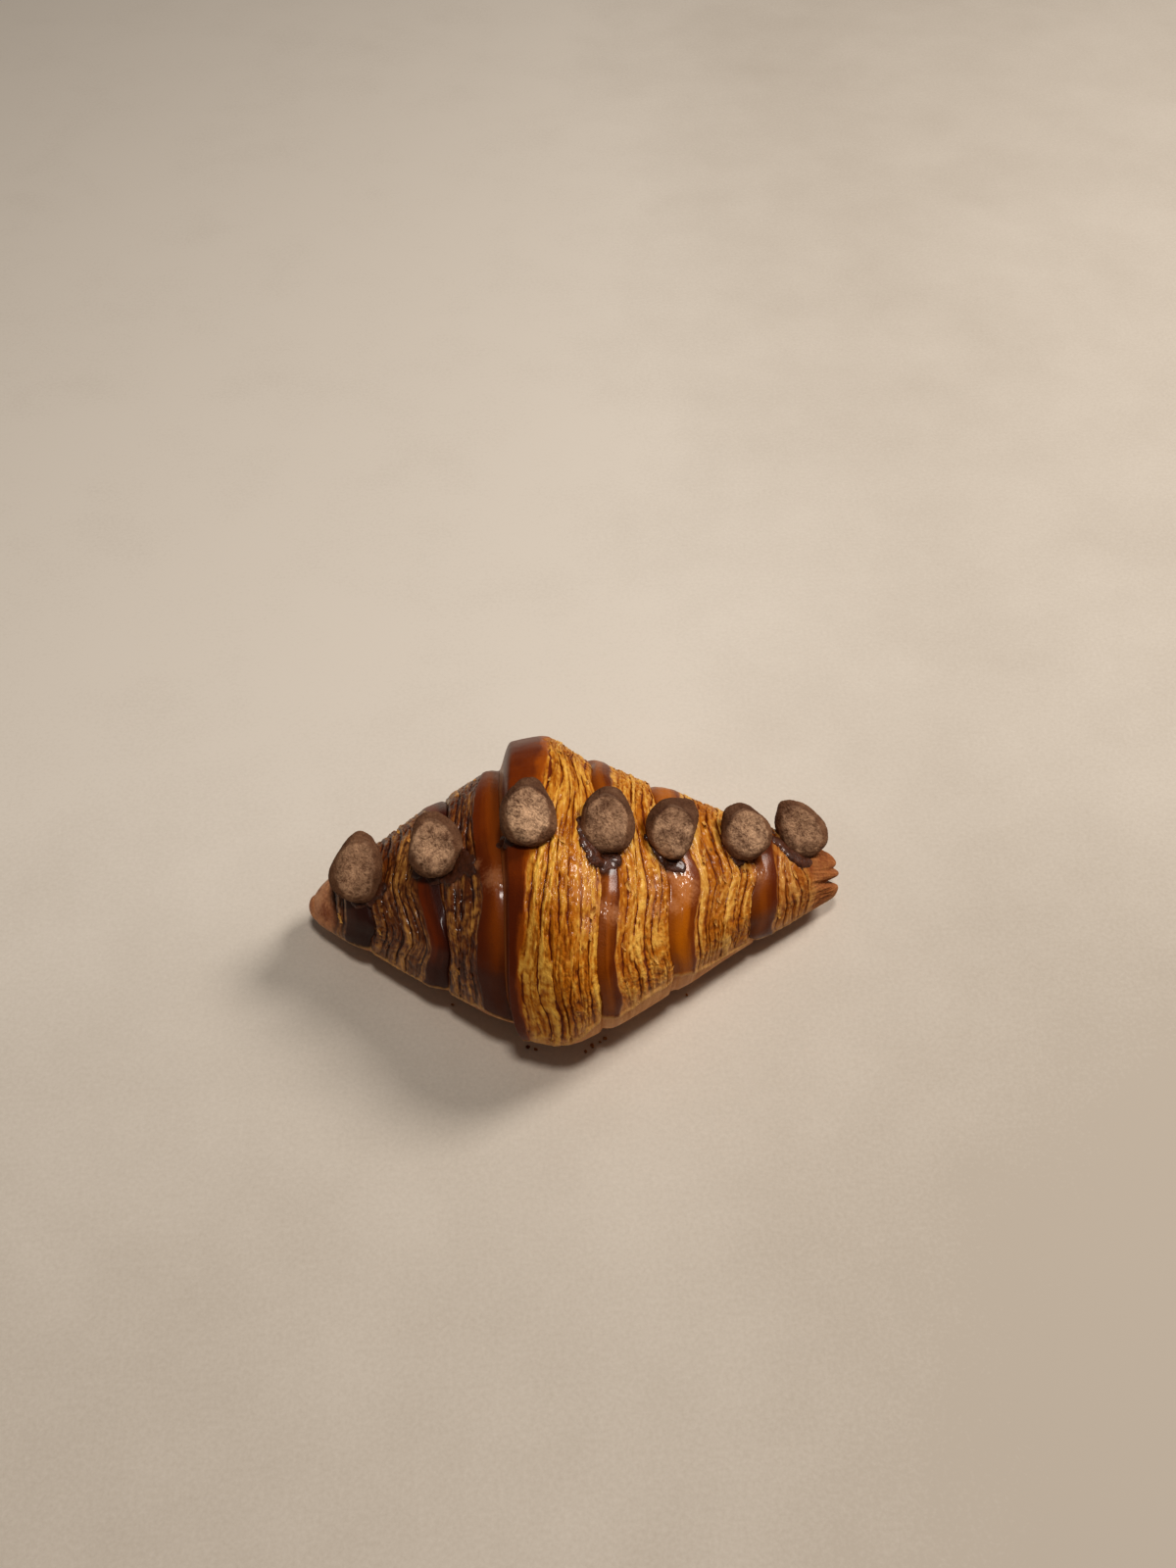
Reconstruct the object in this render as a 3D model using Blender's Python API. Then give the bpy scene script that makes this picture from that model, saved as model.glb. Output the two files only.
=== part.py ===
"""A rolled croissant with seven chocolate nuggets set in a row along its ridge.

The croissant is one solid. It is a tapering roll of dough: each turn of the dough sheet shows as a ring
with a smooth baked skin and, on its tip side, the cut edge of the sheet, which opens into layers. The rings
climb from both tips to the last turn, which stands proud in the middle. Each nugget is a solid of its own,
pressed a little way into the crust, with a small gap to it.

The sizes below are in millimetres. X runs along the croissant, the belly bulges towards -Y, and Z is up.
"""

import math

import bmesh
import bpy
from mathutils import Matrix, Vector, noise

MM = 0.001

# The roll: its reach along X, its half depth (along Y) at the tips, and how that grows towards the crest.
LEFT_TIP = -80.0
RIGHT_TIP = 81.5
LEFT_TIP_RADIUS = 4.6
RIGHT_TIP_RADIUS = 5.8
LEFT_GAIN = 36.4
LEFT_RUN = 58.0
LEFT_POWER = 0.94
RIGHT_GAIN = 43.4
RIGHT_RUN = 85.5
RIGHT_POWER = 1.06
CREST_SOFTNESS = 3.6

# The cross-section: heights as shares of the half depth, and how square the round is.
RISE_BELLY = 0.70
RISE_TIP = 0.92
DROP_BELLY = 0.62
DROP_TIP = 0.80
SQUARENESS_ABOVE = 2.15
SQUARENESS_BELOW = 2.6
TIP_SHARE_POWER = 1.6

# How the roll lies: the belly pushed forwards, the tips lifted, the bottom pressed flat.
BOW = 12.8
BOW_REACH = 1.1
BOW_POWER = 1.15
BOW_CENTRE = -2.0
BOW_ROUNDNESS = 0.02
TIP_LIFT = 8.6
PRESSED = 1.6

# The relief of the rings: how deep a ring sinks where the next one covers it, how high its lip stands,
# how steeply the layers step up from the ring below, and how high the last turn stands.
CREASE = 1.1
LIP = 1.0
STEP_LENGTH = 0.9
STEP_SHARE = 0.62
SKIN_POWER = 2.2
LAST_TURN_RISE = 3.8
LAST_TURN_POWER = 1.3
LAST_TURN_STEP = 0.8

# The cut layers: their depth, how much it varies along a layer, and how far a layer strays sideways.
LAYER_DEPTH = 0.66
LAYER_UNEVENNESS = 1.5
LAYER_STRAY = 0.8

# The unevenness of the whole roll: swells of the surface, and rings that stray along X as they run round.
SWELL = 1.1
RING_STRAY = 2.9
STRAY_FADE = 14.0
SLENDER = 14.0
CALM_BELOW = 0.65

# The dark skin of the last turn widens from its front to its back. Its free edge runs straighter than the
# other rings over the top, and slants towards the right tip low on the front.
SKIN_WIDENING = 3.4
SKIN_WIDENING_REACH = 6.0
WIDENING_EDGE = -12.6
LAST_EDGE_REACH = 6.0
LAST_EDGE_SLANT = 3.8
LAST_EDGE_CALM = 0.85

# The split in the right tip: its depth, its half width, how far along the tip it fades out, and the tilt
# of its plane from level, rising towards the front.
SPLIT_DEPTH = 4.6
SPLIT_WIDTH = 1.4
SPLIT_RUN = 12.0
SPLIT_TILT = -46.0
SPLIT_OFFSET = -1.0

# Mesh steps.
STEPS_ROUND = 52
STEPS_SKIN = 3
STEPS_LAST_SKIN = 5
STEPS_CAP = 5
CAP_LENGTH = 5.0
CAP_POWER = 2.6
CREASE_GAP = 0.3
LAYER_GAP = 0.8

# The rings, from the left tip to the right one. foot is where the cut layers start on the ring below,
# edge is where the ring's smooth skin starts, end is where the next ring covers the skin.
LEFT_RINGS = (
    dict(foot=LEFT_TIP, edge=-66.5, end=-59.0, layers=3),
    dict(foot=-59.0, edge=-43.5, end=-37.5, layers=5),
    dict(foot=-37.5, edge=-27.0, end=-18.8, layers=4),
)
LAST_TURN = dict(left=-18.8, skin=-17.4, edge=-13.2, foot=7.0, layers=7)
RIGHT_RINGS = (
    dict(foot=27.3, edge=13.4, end=7.0, layers=5),
    dict(foot=52.5, edge=35.5, end=27.3, layers=6),
    dict(foot=RIGHT_TIP, edge=60.0, end=52.5, layers=4),
)

# The nuggets: place along X, turn round the roll from the ridge (towards the front), lean of the face,
# spin in its own plane, its size, and which way its narrow end points (0 is right, 90 is up) and how narrow.
NUGGETS = (
    dict(x=-62.6, turn=3, lean=36, spin=9, width=14.6, height=21.2, point=86, taper=0.36),
    dict(x=-39.5, turn=4, lean=32, spin=4, width=14.8, height=19.2, point=110, taper=0.18),
    dict(x=-14.4, turn=3, lean=30, spin=-4, width=15.2, height=19.0, point=78, taper=0.28),
    dict(x=7.3, turn=1, lean=30, spin=5, width=15.2, height=19.2, point=85, taper=0.24),
    dict(x=28.9, turn=1.5, lean=32, spin=16, width=14.4, height=18.4, point=-64, taper=0.34),
    dict(x=50.6, turn=-3.5, lean=28, spin=-14, width=14.4, height=16.8, point=95, taper=0.20),
    dict(x=68.8, turn=-31, lean=30, spin=-28, width=14.2, height=18.8, point=95, taper=0.34),
)
NUGGET_THICKNESS = 11.8
NUGGET_SUNK = 4.0
NUGGET_GAP = 0.3
NUGGET_LUMPS = 0.08
NUGGET_FACE = 0.62
NUGGET_BEVEL = 0.36
NUGGET_SQUARENESS = 2.15
NUGGET_STEPS_ROUND = 16
NUGGET_STEPS_DOWN = 9

CRUST_COLOUR = (0.42, 0.17, 0.03, 1.0)
CRUST_ROUGHNESS = 0.35
NUGGET_COLOUR = (0.20, 0.12, 0.08, 1.0)
NUGGET_ROUGHNESS = 0.9
SHARP_ANGLE = 50.0


def clamp(value, low=0.0, high=1.0):
    return max(low, min(high, value))


def smooth(value):
    t = clamp(value)
    return t * t * (3 - 2 * t)


def mix(a, b, t):
    return a + (b - a) * t


def soft_min(a, b, softness):
    """The smaller of two values, with the corner where they cross rounded off."""
    return 0.5 * (a + b - math.sqrt((a - b) ** 2 + (2 * softness) ** 2))


def tip_share(x):
    """0 over the belly, 1 at either tip."""
    return clamp(abs(x) / RIGHT_TIP) ** TIP_SHARE_POWER


def half_depth(x):
    """The half depth of the roll, without relief, before its ends are rounded."""
    from_left = max(0.0, x - LEFT_TIP - 2.0) / LEFT_RUN
    from_right = max(0.0, RIGHT_TIP - x) / RIGHT_RUN
    left = LEFT_TIP_RADIUS + LEFT_GAIN * from_left**LEFT_POWER
    right = RIGHT_TIP_RADIUS + RIGHT_GAIN * from_right**RIGHT_POWER
    return soft_min(left, right, CREST_SOFTNESS)


def cap(x):
    """1 along the roll, falling to 0 at each tip along a quarter of a squarish round."""
    to_end = min(x - LEFT_TIP, RIGHT_TIP - x)
    t = clamp(1 - to_end / CAP_LENGTH)
    return math.sqrt(max(0.0, 1 - t**CAP_POWER))


def bow(x):
    """How far the roll's centre lies in front of the line between its tips."""
    from_centre = math.sqrt(((x - BOW_CENTRE) / RIGHT_TIP) ** 2 + BOW_ROUNDNESS)
    return BOW * max(0.0, BOW_REACH - from_centre) ** BOW_POWER


def ring_relief(u):
    """The rings' height over the plain roll at u, measured along the dough: creases, cut layers and skins."""
    height = 0.0
    for ring in LEFT_RINGS + RIGHT_RINGS:
        low, high = sorted((ring["foot"], ring["end"]))
        if low <= u <= high:
            from_foot = abs(u - ring["foot"])
            rise = from_foot / abs(ring["edge"] - ring["foot"])
            fall = (u - ring["edge"]) / (ring["end"] - ring["edge"])
            if rise <= 1:
                step = STEP_SHARE * smooth(from_foot / STEP_LENGTH)
                height = mix(-CREASE, LIP, step + (1 - step) * rise)
            else:
                height = mix(LIP, -CREASE, clamp(fall) ** SKIN_POWER)
    turn = LAST_TURN
    if turn["left"] < u <= turn["skin"]:
        height = mix(-CREASE, LAST_TURN_RISE, smooth((u - turn["left"]) / (turn["skin"] - turn["left"])))
    elif turn["skin"] < u <= turn["foot"]:
        fall = (u - turn["skin"]) / (turn["foot"] - turn["skin"])
        step = 1.0
        if fall > LAST_TURN_STEP:
            step = smooth((turn["foot"] - u) / STEP_LENGTH)
        height = mix(LAST_TURN_RISE, 0.0, fall**LAST_TURN_POWER) + mix(-CREASE, 0.0, step)
    return height


def wander(u, angle):
    """How far the dough strays along X as it runs round the roll. It fades out at the tips."""
    up, front = math.cos(angle), math.sin(angle)
    fade = clamp(min(u - LEFT_TIP, RIGHT_TIP - u) / STRAY_FADE)
    whole_ring = noise.noise(Vector((u * 0.045, 1.4 * up, 1.4 * front)))
    one_layer = noise.noise(Vector((u * 0.4, 2.2 * up + 5, 2.2 * front)))
    near_skin = smooth(1 - abs(u - WIDENING_EDGE) / SKIN_WIDENING_REACH)
    widening = SKIN_WIDENING * near_skin * smooth(0.5 - 0.8 * front)
    near_edge = smooth(1 - abs(u - LAST_TURN["left"]) / LAST_EDGE_REACH)
    slant = LAST_EDGE_SLANT * near_edge * smooth((0.1 - up) / 0.6) * smooth(front / 0.3)
    calm = 1 - LAST_EDGE_CALM * near_edge * smooth(1 + 2 * up)
    return (RING_STRAY * whole_ring + LAYER_STRAY * one_layer) * fade * calm + widening + slant


def split(x, y, z):
    """How far the end of the right tip is set back at a point of its cross-section, by the split in it."""
    tilt = math.radians(SPLIT_TILT)
    off = z * math.cos(tilt) - y * math.sin(tilt) - SPLIT_OFFSET
    return SPLIT_DEPTH * math.exp(-((off / SPLIT_WIDTH) ** 2)) * smooth((x - RIGHT_TIP) / SPLIT_RUN + 1)


def crust_point(u, angle, layer=0.0):
    """A point of the crust: u along the dough, angle round the roll from its top towards the front.
    layer is -1 in the groove between two cut layers and 1 on a layer."""
    x = u + wander(u, angle)
    a = half_depth(x)
    share = tip_share(x)
    drop = a * mix(DROP_BELLY, DROP_TIP, share)
    up, front = math.cos(angle), math.sin(angle)
    if up > 0:
        height, squareness = a * mix(RISE_BELLY, RISE_TIP, share), SQUARENESS_ABOVE
    else:
        height, squareness = drop, SQUARENESS_BELOW
    side = math.copysign(abs(front) ** (2 / squareness), front)
    lift = math.copysign(abs(up) ** (2 / squareness), up)
    swell = SWELL * noise.noise(Vector((x * 0.03, 2.0 * up + 7, 2.0 * front)))
    uneven = noise.noise(Vector((u * 0.9, 2.6 * up, 2.6 * front + 3)))
    calm = 1 - CALM_BELOW * smooth(-2 * up - 0.3)
    relief = ring_relief(u) + swell + LAYER_DEPTH * layer * (1 + LAYER_UNEVENNESS * uneven)
    relief *= calm * clamp(a / SLENDER, 0.3, 1.0)
    outward = Vector((0, side / a, lift / height)).normalized()
    y = (-a * side - relief * outward.y) * cap(x)
    z = (height * lift + relief * outward.z) * cap(x)
    lifted = TIP_LIFT * share + drop - PRESSED
    return Vector((x - split(x, y, z), y - bow(x), max(0.0, z + lifted)))


def crust_stations():
    """(u, layer) of each ring of points, from tip to tip: layers and grooves in turn, then the skins."""
    stations = []

    def cut_layers(start, stop, layers):
        for i in range(2 * layers):
            t = (i + 0.5) / (2 * layers)
            stations.append((mix(start, stop, t), -1.0 if i % 2 == 0 else 1.0))

    def skin(start, stop, steps):
        for i in range(steps + 1):
            stations.append((mix(start, stop, i / steps), 0.0))

    for ring in LEFT_RINGS:
        start = max(ring["foot"], LEFT_TIP + CAP_LENGTH)
        cut_layers(start, ring["edge"] - LAYER_GAP, ring["layers"])
        skin(ring["edge"], ring["end"] - CREASE_GAP, STEPS_SKIN)
    turn = LAST_TURN
    skin(turn["left"], turn["edge"] - CREASE_GAP, STEPS_LAST_SKIN)
    cut_layers(turn["edge"] + LAYER_GAP, turn["foot"] - LAYER_GAP, turn["layers"])
    for ring in RIGHT_RINGS:
        stop = min(ring["foot"], RIGHT_TIP - CAP_LENGTH)
        skin(ring["end"] + CREASE_GAP, ring["edge"], STEPS_SKIN)
        cut_layers(ring["edge"] + LAYER_GAP, stop - LAYER_GAP, ring["layers"])
    for i in range(STEPS_CAP):
        back = CAP_LENGTH * (1 - math.cos(0.5 * math.pi * (i + 0.7) / STEPS_CAP))
        stations.append((LEFT_TIP + back, 0.0))
        stations.append((RIGHT_TIP - back, 0.0))
    return sorted(stations)


def material(name, colour, roughness):
    made = bpy.data.materials.new(name)
    made.use_nodes = True
    shader = made.node_tree.nodes["Principled BSDF"]
    shader.inputs["Base Color"].default_value = colour
    shader.inputs["Roughness"].default_value = roughness
    made.diffuse_color = colour
    return made


def mesh_object(name, bm, finish):
    """A shaded object in metres from a bmesh in millimetres."""
    bmesh.ops.recalc_face_normals(bm, faces=bm.faces)
    mesh = bpy.data.meshes.new(name)
    bm.to_mesh(mesh)
    bm.free()
    mesh.transform(Matrix.Scale(MM, 4))
    mesh.materials.append(finish)
    mesh.shade_smooth()
    mesh.set_sharp_from_angle(angle=math.radians(SHARP_ANGLE))
    made = bpy.data.objects.new(name, mesh)
    bpy.context.scene.collection.objects.link(made)
    return made


def close_rings(bm, rings, first_pole, last_pole):
    """Faces between neighbouring rings of vertices, and a fan to a pole at each end."""
    count = len(rings[0])
    for low, high in zip(rings, rings[1:]):
        for i in range(count):
            j = (i + 1) % count
            bm.faces.new((low[i], low[j], high[j], high[i]))
    for ring, pole in ((rings[0], first_pole), (rings[-1], last_pole)):
        for i in range(count):
            bm.faces.new((ring[i], ring[(i + 1) % count], pole))


def make_croissant(finish):
    bm = bmesh.new()
    rings = []
    for u, layer in crust_stations():
        angles = (2 * math.pi * i / STEPS_ROUND for i in range(STEPS_ROUND))
        rings.append([bm.verts.new(crust_point(u, angle, layer)) for angle in angles])
    left = bm.verts.new(crust_point(LEFT_TIP, 0))
    right = bm.verts.new(crust_point(RIGHT_TIP, 0))
    close_rings(bm, rings, left, right)
    return mesh_object("croissant", bm, finish)


def nugget_point(nugget, across, down, seed, grow=0.0):
    """A point of a nugget about its own centre: X across, Y up its face, Z out of its face."""
    x = math.sin(down) * math.cos(across)
    y = math.sin(down) * math.sin(across)
    z = math.cos(down)
    lump = 1 + NUGGET_LUMPS * noise.noise(Vector((1.6 * x + 5 * seed, 1.6 * y, 1.6 * z)))
    flat = math.copysign(abs(z) ** NUGGET_FACE, z)
    roundness = sum(abs(c) ** NUGGET_SQUARENESS for c in (x, y, z)) ** (1 / NUGGET_SQUARENESS)
    plump = (1 - NUGGET_BEVEL * abs(z) ** 3) / roundness
    pointed = Matrix.Rotation(math.radians(nugget["point"]), 2)
    face = Vector((x, y)) @ pointed
    face.y *= 1 - nugget["taper"] * face.x
    x, y = pointed @ face
    return Vector((
        x * plump * lump * (nugget["width"] / 2 + grow),
        y * plump * lump * (nugget["height"] / 2 + grow),
        flat * lump * (NUGGET_THICKNESS / 2 + grow),
    ))


def nugget_placement(nugget):
    """The matrix that sets a nugget on the crust, with its face leaning to the front."""
    angle = math.radians(nugget["turn"])
    on_crust = crust_point(nugget["x"], angle)
    lean = math.radians(nugget["lean"])
    outward = Vector((0, -math.sin(angle), math.cos(angle)))
    stand = NUGGET_THICKNESS / 2 + 0.30 * nugget["height"] * math.sin(lean) - NUGGET_SUNK
    turned = Matrix.Rotation(lean, 4, "X") @ Matrix.Rotation(math.radians(-nugget["spin"]), 4, "Z")
    return Matrix.Translation(on_crust + outward * stand) @ turned


def nugget_mesh(nugget, seed, grow=0.0):
    bm = bmesh.new()
    place = nugget_placement(nugget)
    rings = []
    for i in range(1, NUGGET_STEPS_DOWN):
        down = math.pi * i / NUGGET_STEPS_DOWN
        ring = []
        for j in range(NUGGET_STEPS_ROUND):
            across = 2 * math.pi * j / NUGGET_STEPS_ROUND
            ring.append(bm.verts.new(place @ nugget_point(nugget, across, down, seed, grow)))
        rings.append(ring)
    top = bm.verts.new(place @ nugget_point(nugget, 0, 0, seed, grow))
    bottom = bm.verts.new(place @ nugget_point(nugget, 0, math.pi, seed, grow))
    close_rings(bm, rings, top, bottom)
    return bm


def press_into(crust, cutter):
    """Leaves the cutter's print in the crust and removes the cutter."""
    cut = crust.modifiers.new("Print", "BOOLEAN")
    cut.operation = "DIFFERENCE"
    cut.object = cutter
    with bpy.context.temp_override(object=crust, active_object=crust):
        bpy.ops.object.modifier_apply(modifier=cut.name)
    bpy.data.objects.remove(cutter)


def stand_on_origin(objects):
    """Moves the whole so that the middle of its box's underside is the origin."""
    corners = [v.co for obj in objects for v in obj.data.vertices]
    low = Vector(min(c[i] for c in corners) for i in range(3))
    high = Vector(max(c[i] for c in corners) for i in range(3))
    shift = Vector((-(low.x + high.x) / 2, -(low.y + high.y) / 2, -low.z))
    for obj in objects:
        obj.data.transform(Matrix.Translation(shift))


def main():
    for old in list(bpy.data.objects):
        bpy.data.objects.remove(old)
    crust_finish = material("crust", CRUST_COLOUR, CRUST_ROUGHNESS)
    nugget_finish = material("cocoa", NUGGET_COLOUR, NUGGET_ROUGHNESS)
    croissant = make_croissant(crust_finish)
    pieces = [croissant]
    for number, nugget in enumerate(NUGGETS, 1):
        cutter = mesh_object("cutter", nugget_mesh(nugget, number, NUGGET_GAP), crust_finish)
        press_into(croissant, cutter)
        pieces.append(mesh_object(f"nugget_{number}", nugget_mesh(nugget, number), nugget_finish))
    stand_on_origin(pieces)


main()
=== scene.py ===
# %% [markdown]
# # A croissant with cocoa nuggets
#
# The packed model gives one plain solid for the rolled dough and one for each nugget. This lesson dresses
# them: the dough opens into thin baked layers, its skins take a glaze, the nuggets get their dry cocoa, and
# chocolate, flakes and crumbs fill the places between.

# %% Tools and the packed model
import math
from types import SimpleNamespace

import bpy
import numpy as np
from mathutils import Matrix, Vector, noise


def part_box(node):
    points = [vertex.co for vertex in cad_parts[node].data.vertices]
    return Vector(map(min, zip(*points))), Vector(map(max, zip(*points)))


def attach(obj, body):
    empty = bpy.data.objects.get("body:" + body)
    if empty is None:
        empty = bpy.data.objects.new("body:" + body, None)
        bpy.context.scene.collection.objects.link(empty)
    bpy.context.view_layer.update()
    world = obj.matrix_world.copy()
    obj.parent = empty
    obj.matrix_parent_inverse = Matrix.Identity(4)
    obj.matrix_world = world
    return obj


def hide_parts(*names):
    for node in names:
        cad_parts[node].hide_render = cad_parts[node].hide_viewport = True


MM = 0.001
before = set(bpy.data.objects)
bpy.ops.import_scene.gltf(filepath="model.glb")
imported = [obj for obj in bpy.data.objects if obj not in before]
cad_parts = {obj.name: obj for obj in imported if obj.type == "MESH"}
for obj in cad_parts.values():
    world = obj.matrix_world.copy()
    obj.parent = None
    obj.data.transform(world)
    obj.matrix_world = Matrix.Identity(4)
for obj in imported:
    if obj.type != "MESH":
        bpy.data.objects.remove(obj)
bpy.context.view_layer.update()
print("nodes:", sorted(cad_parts))

# %% [markdown]
# ## The camera
#
# The view looks down at about forty-nine degrees, a little from the left. A long lens flattens the view and
# a wide one bends it; this one is a plain 51 mm lens. The camera comes first, because every later choice of
# detail is judged through it.

# %% Camera
CAMERA_PLACE = (-0.0161, -0.2965, 0.4150)
CAMERA_TILT = 40.97
CAMERA_TURN = -3.74
LENS = 51.0

camera_data = bpy.data.cameras.new("camera")
camera_data.lens = LENS
camera_data.sensor_fit = "HORIZONTAL"
camera = bpy.data.objects.new("camera", camera_data)
camera.location = CAMERA_PLACE
camera.rotation_euler = (math.radians(CAMERA_TILT), 0, math.radians(CAMERA_TURN))
bpy.context.scene.collection.objects.link(camera)
bpy.context.scene.camera = camera
print("camera at", tuple(round(c, 3) for c in camera.location))

# %% [markdown]
# ## Maths on node sockets
#
# Node trees for surfaces and for geometry hold the same Math nodes. `Value` wraps a socket, so that a sum
# such as `1 - mask * 0.5` adds those nodes by itself. `Bench` adds every other node through one method: the
# node's type, its settings, and what goes into its sockets.


# %% A value in a node tree
class Value:
    """A number or vector in a node tree. Python's operators on a number add Math nodes."""

    def __init__(self, bench, socket):
        self.bench = bench
        self.socket = socket

    def math(self, operation, *others):
        return self.bench.add("ShaderNodeMath", {"operation": operation}, (self, *others))

    def __add__(self, other):
        return self.math("ADD", other)

    def __sub__(self, other):
        return self.math("SUBTRACT", other)

    def __mul__(self, other):
        return self.math("MULTIPLY", other)

    def __truediv__(self, other):
        return self.math("DIVIDE", other)

    def __pow__(self, other):
        return self.math("POWER", other)

    def __rsub__(self, other):
        return self * -1 + other

    def __rtruediv__(self, other):
        return self**-1 * other

    __radd__ = __add__
    __rmul__ = __mul__

    def at_least(self, other):
        return self.math("MAXIMUM", other)

    def at_most(self, other):
        return self.math("MINIMUM", other)

    def ramp(self, start, stop, low=0.0, high=1.0):
        """Eases from low to high as this value goes from start to stop."""
        settings = {"interpolation_type": "SMOOTHSTEP"}
        return self.bench.add("ShaderNodeMapRange", settings, (self, start, stop, low, high))


# %% A bench to build trees on
class Bench:
    """A node tree, with one way to add a node to it."""

    def __init__(self, tree):
        self.tree = tree

    def add(self, kind, settings=None, sockets=(), output=0):
        """Adds a node. sockets is a dict by name or index, or values in the order of the shown sockets."""
        node = self.tree.nodes.new(kind)
        for name, setting in (settings or {}).items():
            setattr(node, name, setting)
        shown = [socket for socket in node.inputs if socket.enabled]
        named = sockets if isinstance(sockets, dict) else dict(enumerate(sockets))
        for key, value in named.items():
            socket = shown[key] if isinstance(key, int) else next(s for s in shown if s.name == key)
            if isinstance(value, Value):
                self.tree.links.new(value.socket, socket)
            else:
                socket.default_value = value
        outputs = [socket for socket in node.outputs if socket.enabled]
        picked = outputs[output] if isinstance(output, int) else next(s for s in outputs if s.name == output)
        return Value(self, picked)

    def vector(self, x, y, z):
        return self.add("ShaderNodeCombineXYZ", None, (x, y, z))

    def scaled(self, vector, scale):
        return self.add("ShaderNodeVectorMath", {"operation": "SCALE"}, {"Vector": vector, "Scale": scale})

    def shifted(self, vector, by):
        return self.add("ShaderNodeVectorMath", {"operation": "ADD"}, (vector, by))

    def parts(self, vector):
        return [self.add("ShaderNodeSeparateXYZ", None, (vector,), axis) for axis in range(3)]

    def grain(self, place, size, detail=2.0, roughness=0.5, seed=0.0):
        """Smooth noise from -1 to 1, whose lumps are about size millimetres across."""
        moved = self.shifted(self.scaled(place, 1 / size), (seed, 2.3 * seed, 1.7 * seed))
        sockets = {"Vector": moved, "Scale": 1.0, "Detail": detail, "Roughness": roughness}
        return self.add("ShaderNodeTexNoise", {"noise_dimensions": "3D"}, sockets) * 2 - 1

    def curled(self, place, scale, reach, detail=2.0):
        """The place pushed about by noise, so that a pattern laid on it bends."""
        sockets = {"Vector": place, "Scale": scale, "Detail": detail}
        push = self.add("ShaderNodeTexNoise", {"noise_dimensions": "3D"}, sockets, "Color")
        return self.shifted(place, self.scaled(push, reach))

    def gap(self, across):
        """Distance from the nearest edge between strips of unequal width, along one number."""
        settings = {"voronoi_dimensions": "1D", "feature": "DISTANCE_TO_EDGE"}
        return self.add("ShaderNodeTexVoronoi", settings, {"W": across, "Scale": 1.0, "Randomness": 0.8})

    def cell(self, across):
        """A number from 0 to 1 for each of those strips."""
        settings = {"voronoi_dimensions": "1D", "feature": "F1"}
        sockets = {"W": across, "Scale": 1.0, "Randomness": 0.8}
        return self.parts(self.add("ShaderNodeTexVoronoi", settings, sockets, "Color"))[0]


def attribute(bench, name, kind="FLOAT"):
    """A number or vector stored on the points, as a geometry tree reads it."""
    return bench.add("GeometryNodeInputNamedAttribute", {"data_type": kind}, {"Name": name})


def painted(bench, name):
    """A number stored on the points, as a material reads it."""
    return bench.add("ShaderNodeAttribute", {"attribute_name": name}, (), "Fac")


# %% [markdown]
# ## The shape of the roll
#
# A croissant is a long triangle of dough, rolled up from its base. Its cross-section is a squarish round that
# grows from each tip to the belly. It could be sculpted, but its layers follow the roll too closely for that.
# So a rule places every point, from two numbers: how far along the dough it is, and how far round the roll,
# from the ridge towards the front. It is the packed solid's rule, with a few finer terms. Whole arrays of
# points are worked out at once, which is what lets the layers be fine.

# %% Sizes of the roll, in millimetres
# The outline: its two tips, and how the half depth grows from each
LEFT_TIP, RIGHT_TIP = -80.0, 81.5
LEFT_TIP_RADIUS, RIGHT_TIP_RADIUS = 4.6, 5.8
LEFT_GAIN, LEFT_RUN, LEFT_POWER = 36.4, 58.0, 0.94
RIGHT_GAIN, RIGHT_RUN, RIGHT_POWER = 43.4, 85.5, 1.06
CREST_SOFTNESS = 3.6
# The cross-section: its rise and drop as shares of the half depth, and how square it is
RISE_BELLY, RISE_TIP = 0.70, 0.92
DROP_BELLY, DROP_TIP = 0.62, 0.80
SQUARENESS_ABOVE, SQUARENESS_BELOW = 2.15, 2.6
TIP_SHARE_POWER = 1.6
# The bow to the front, the lift of the tips and the flattened underside
BOW, BOW_REACH, BOW_POWER, BOW_CENTRE, BOW_ROUNDNESS = 12.8, 1.1, 1.15, -2.0, 0.02
TIP_LIFT, PRESSED = 8.6, 1.6
# Unevenness, by height and by how close together its waves lie; slender ends and the underside are calmer
SHOULDER, SHOULDER_START, SHOULDER_STEP, SHOULDER_RUN = 2.4, -21.0, 1.6, 5.0
SWELL, SWELL_ALONG, SWELL_ROUND = 1.1, 0.03, 2
RING_STRAY, RING_ALONG, RING_ROUND = 2.9, 0.045, 1.4
LAYER_STRAY, LAYER_ALONG, LAYER_ROUND, STRAY_FADE = 0.8, 0.4, 2.2, 14.0
SLENDER, CALM_BELOW = 14.0, 0.65
# The last turn's skin, wider at its back, and the slant of its free edge
SKIN_WIDENING, WIDENING_EDGE, WIDENING_REACH, WIDENING_RUN = 11.0, -15.6, 6.0, 21.0
LAST_EDGE, LAST_EDGE_REACH, LAST_EDGE_SLANT, LAST_EDGE_CALM = -21.0, 6.0, 4.2, 0.85
# The right tip's split and fold, and how each tip is closed
SPLIT_DEPTH, SPLIT_WIDTH, SPLIT_RUN, SPLIT_TILT, SPLIT_OFFSET = 3.6, 1.1, 12.0, -46.0, -1.4
FOLD_DEPTH, FOLD_WIDTH, FOLD_OFFSET = 1.5, 0.9, 2.4
CAP_LENGTH, CAP_POWER, BLUNT_POWER, POLE_GAP = 5.0, 2.6, 4.0, 0.015
print("the roll is", RIGHT_TIP - LEFT_TIP, "mm long before it is bent")


# %% Small helpers on arrays
def smooth(value):
    t = np.clip(value, 0, 1)
    return t * t * (3 - 2 * t)


def mix(a, b, t):
    return a + (b - a) * t


def hump(value, middle, width):
    """1 where the value is at the middle, falling smoothly to 0 on both sides."""
    return np.exp(-(((value - middle) / width) ** 2))


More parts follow.
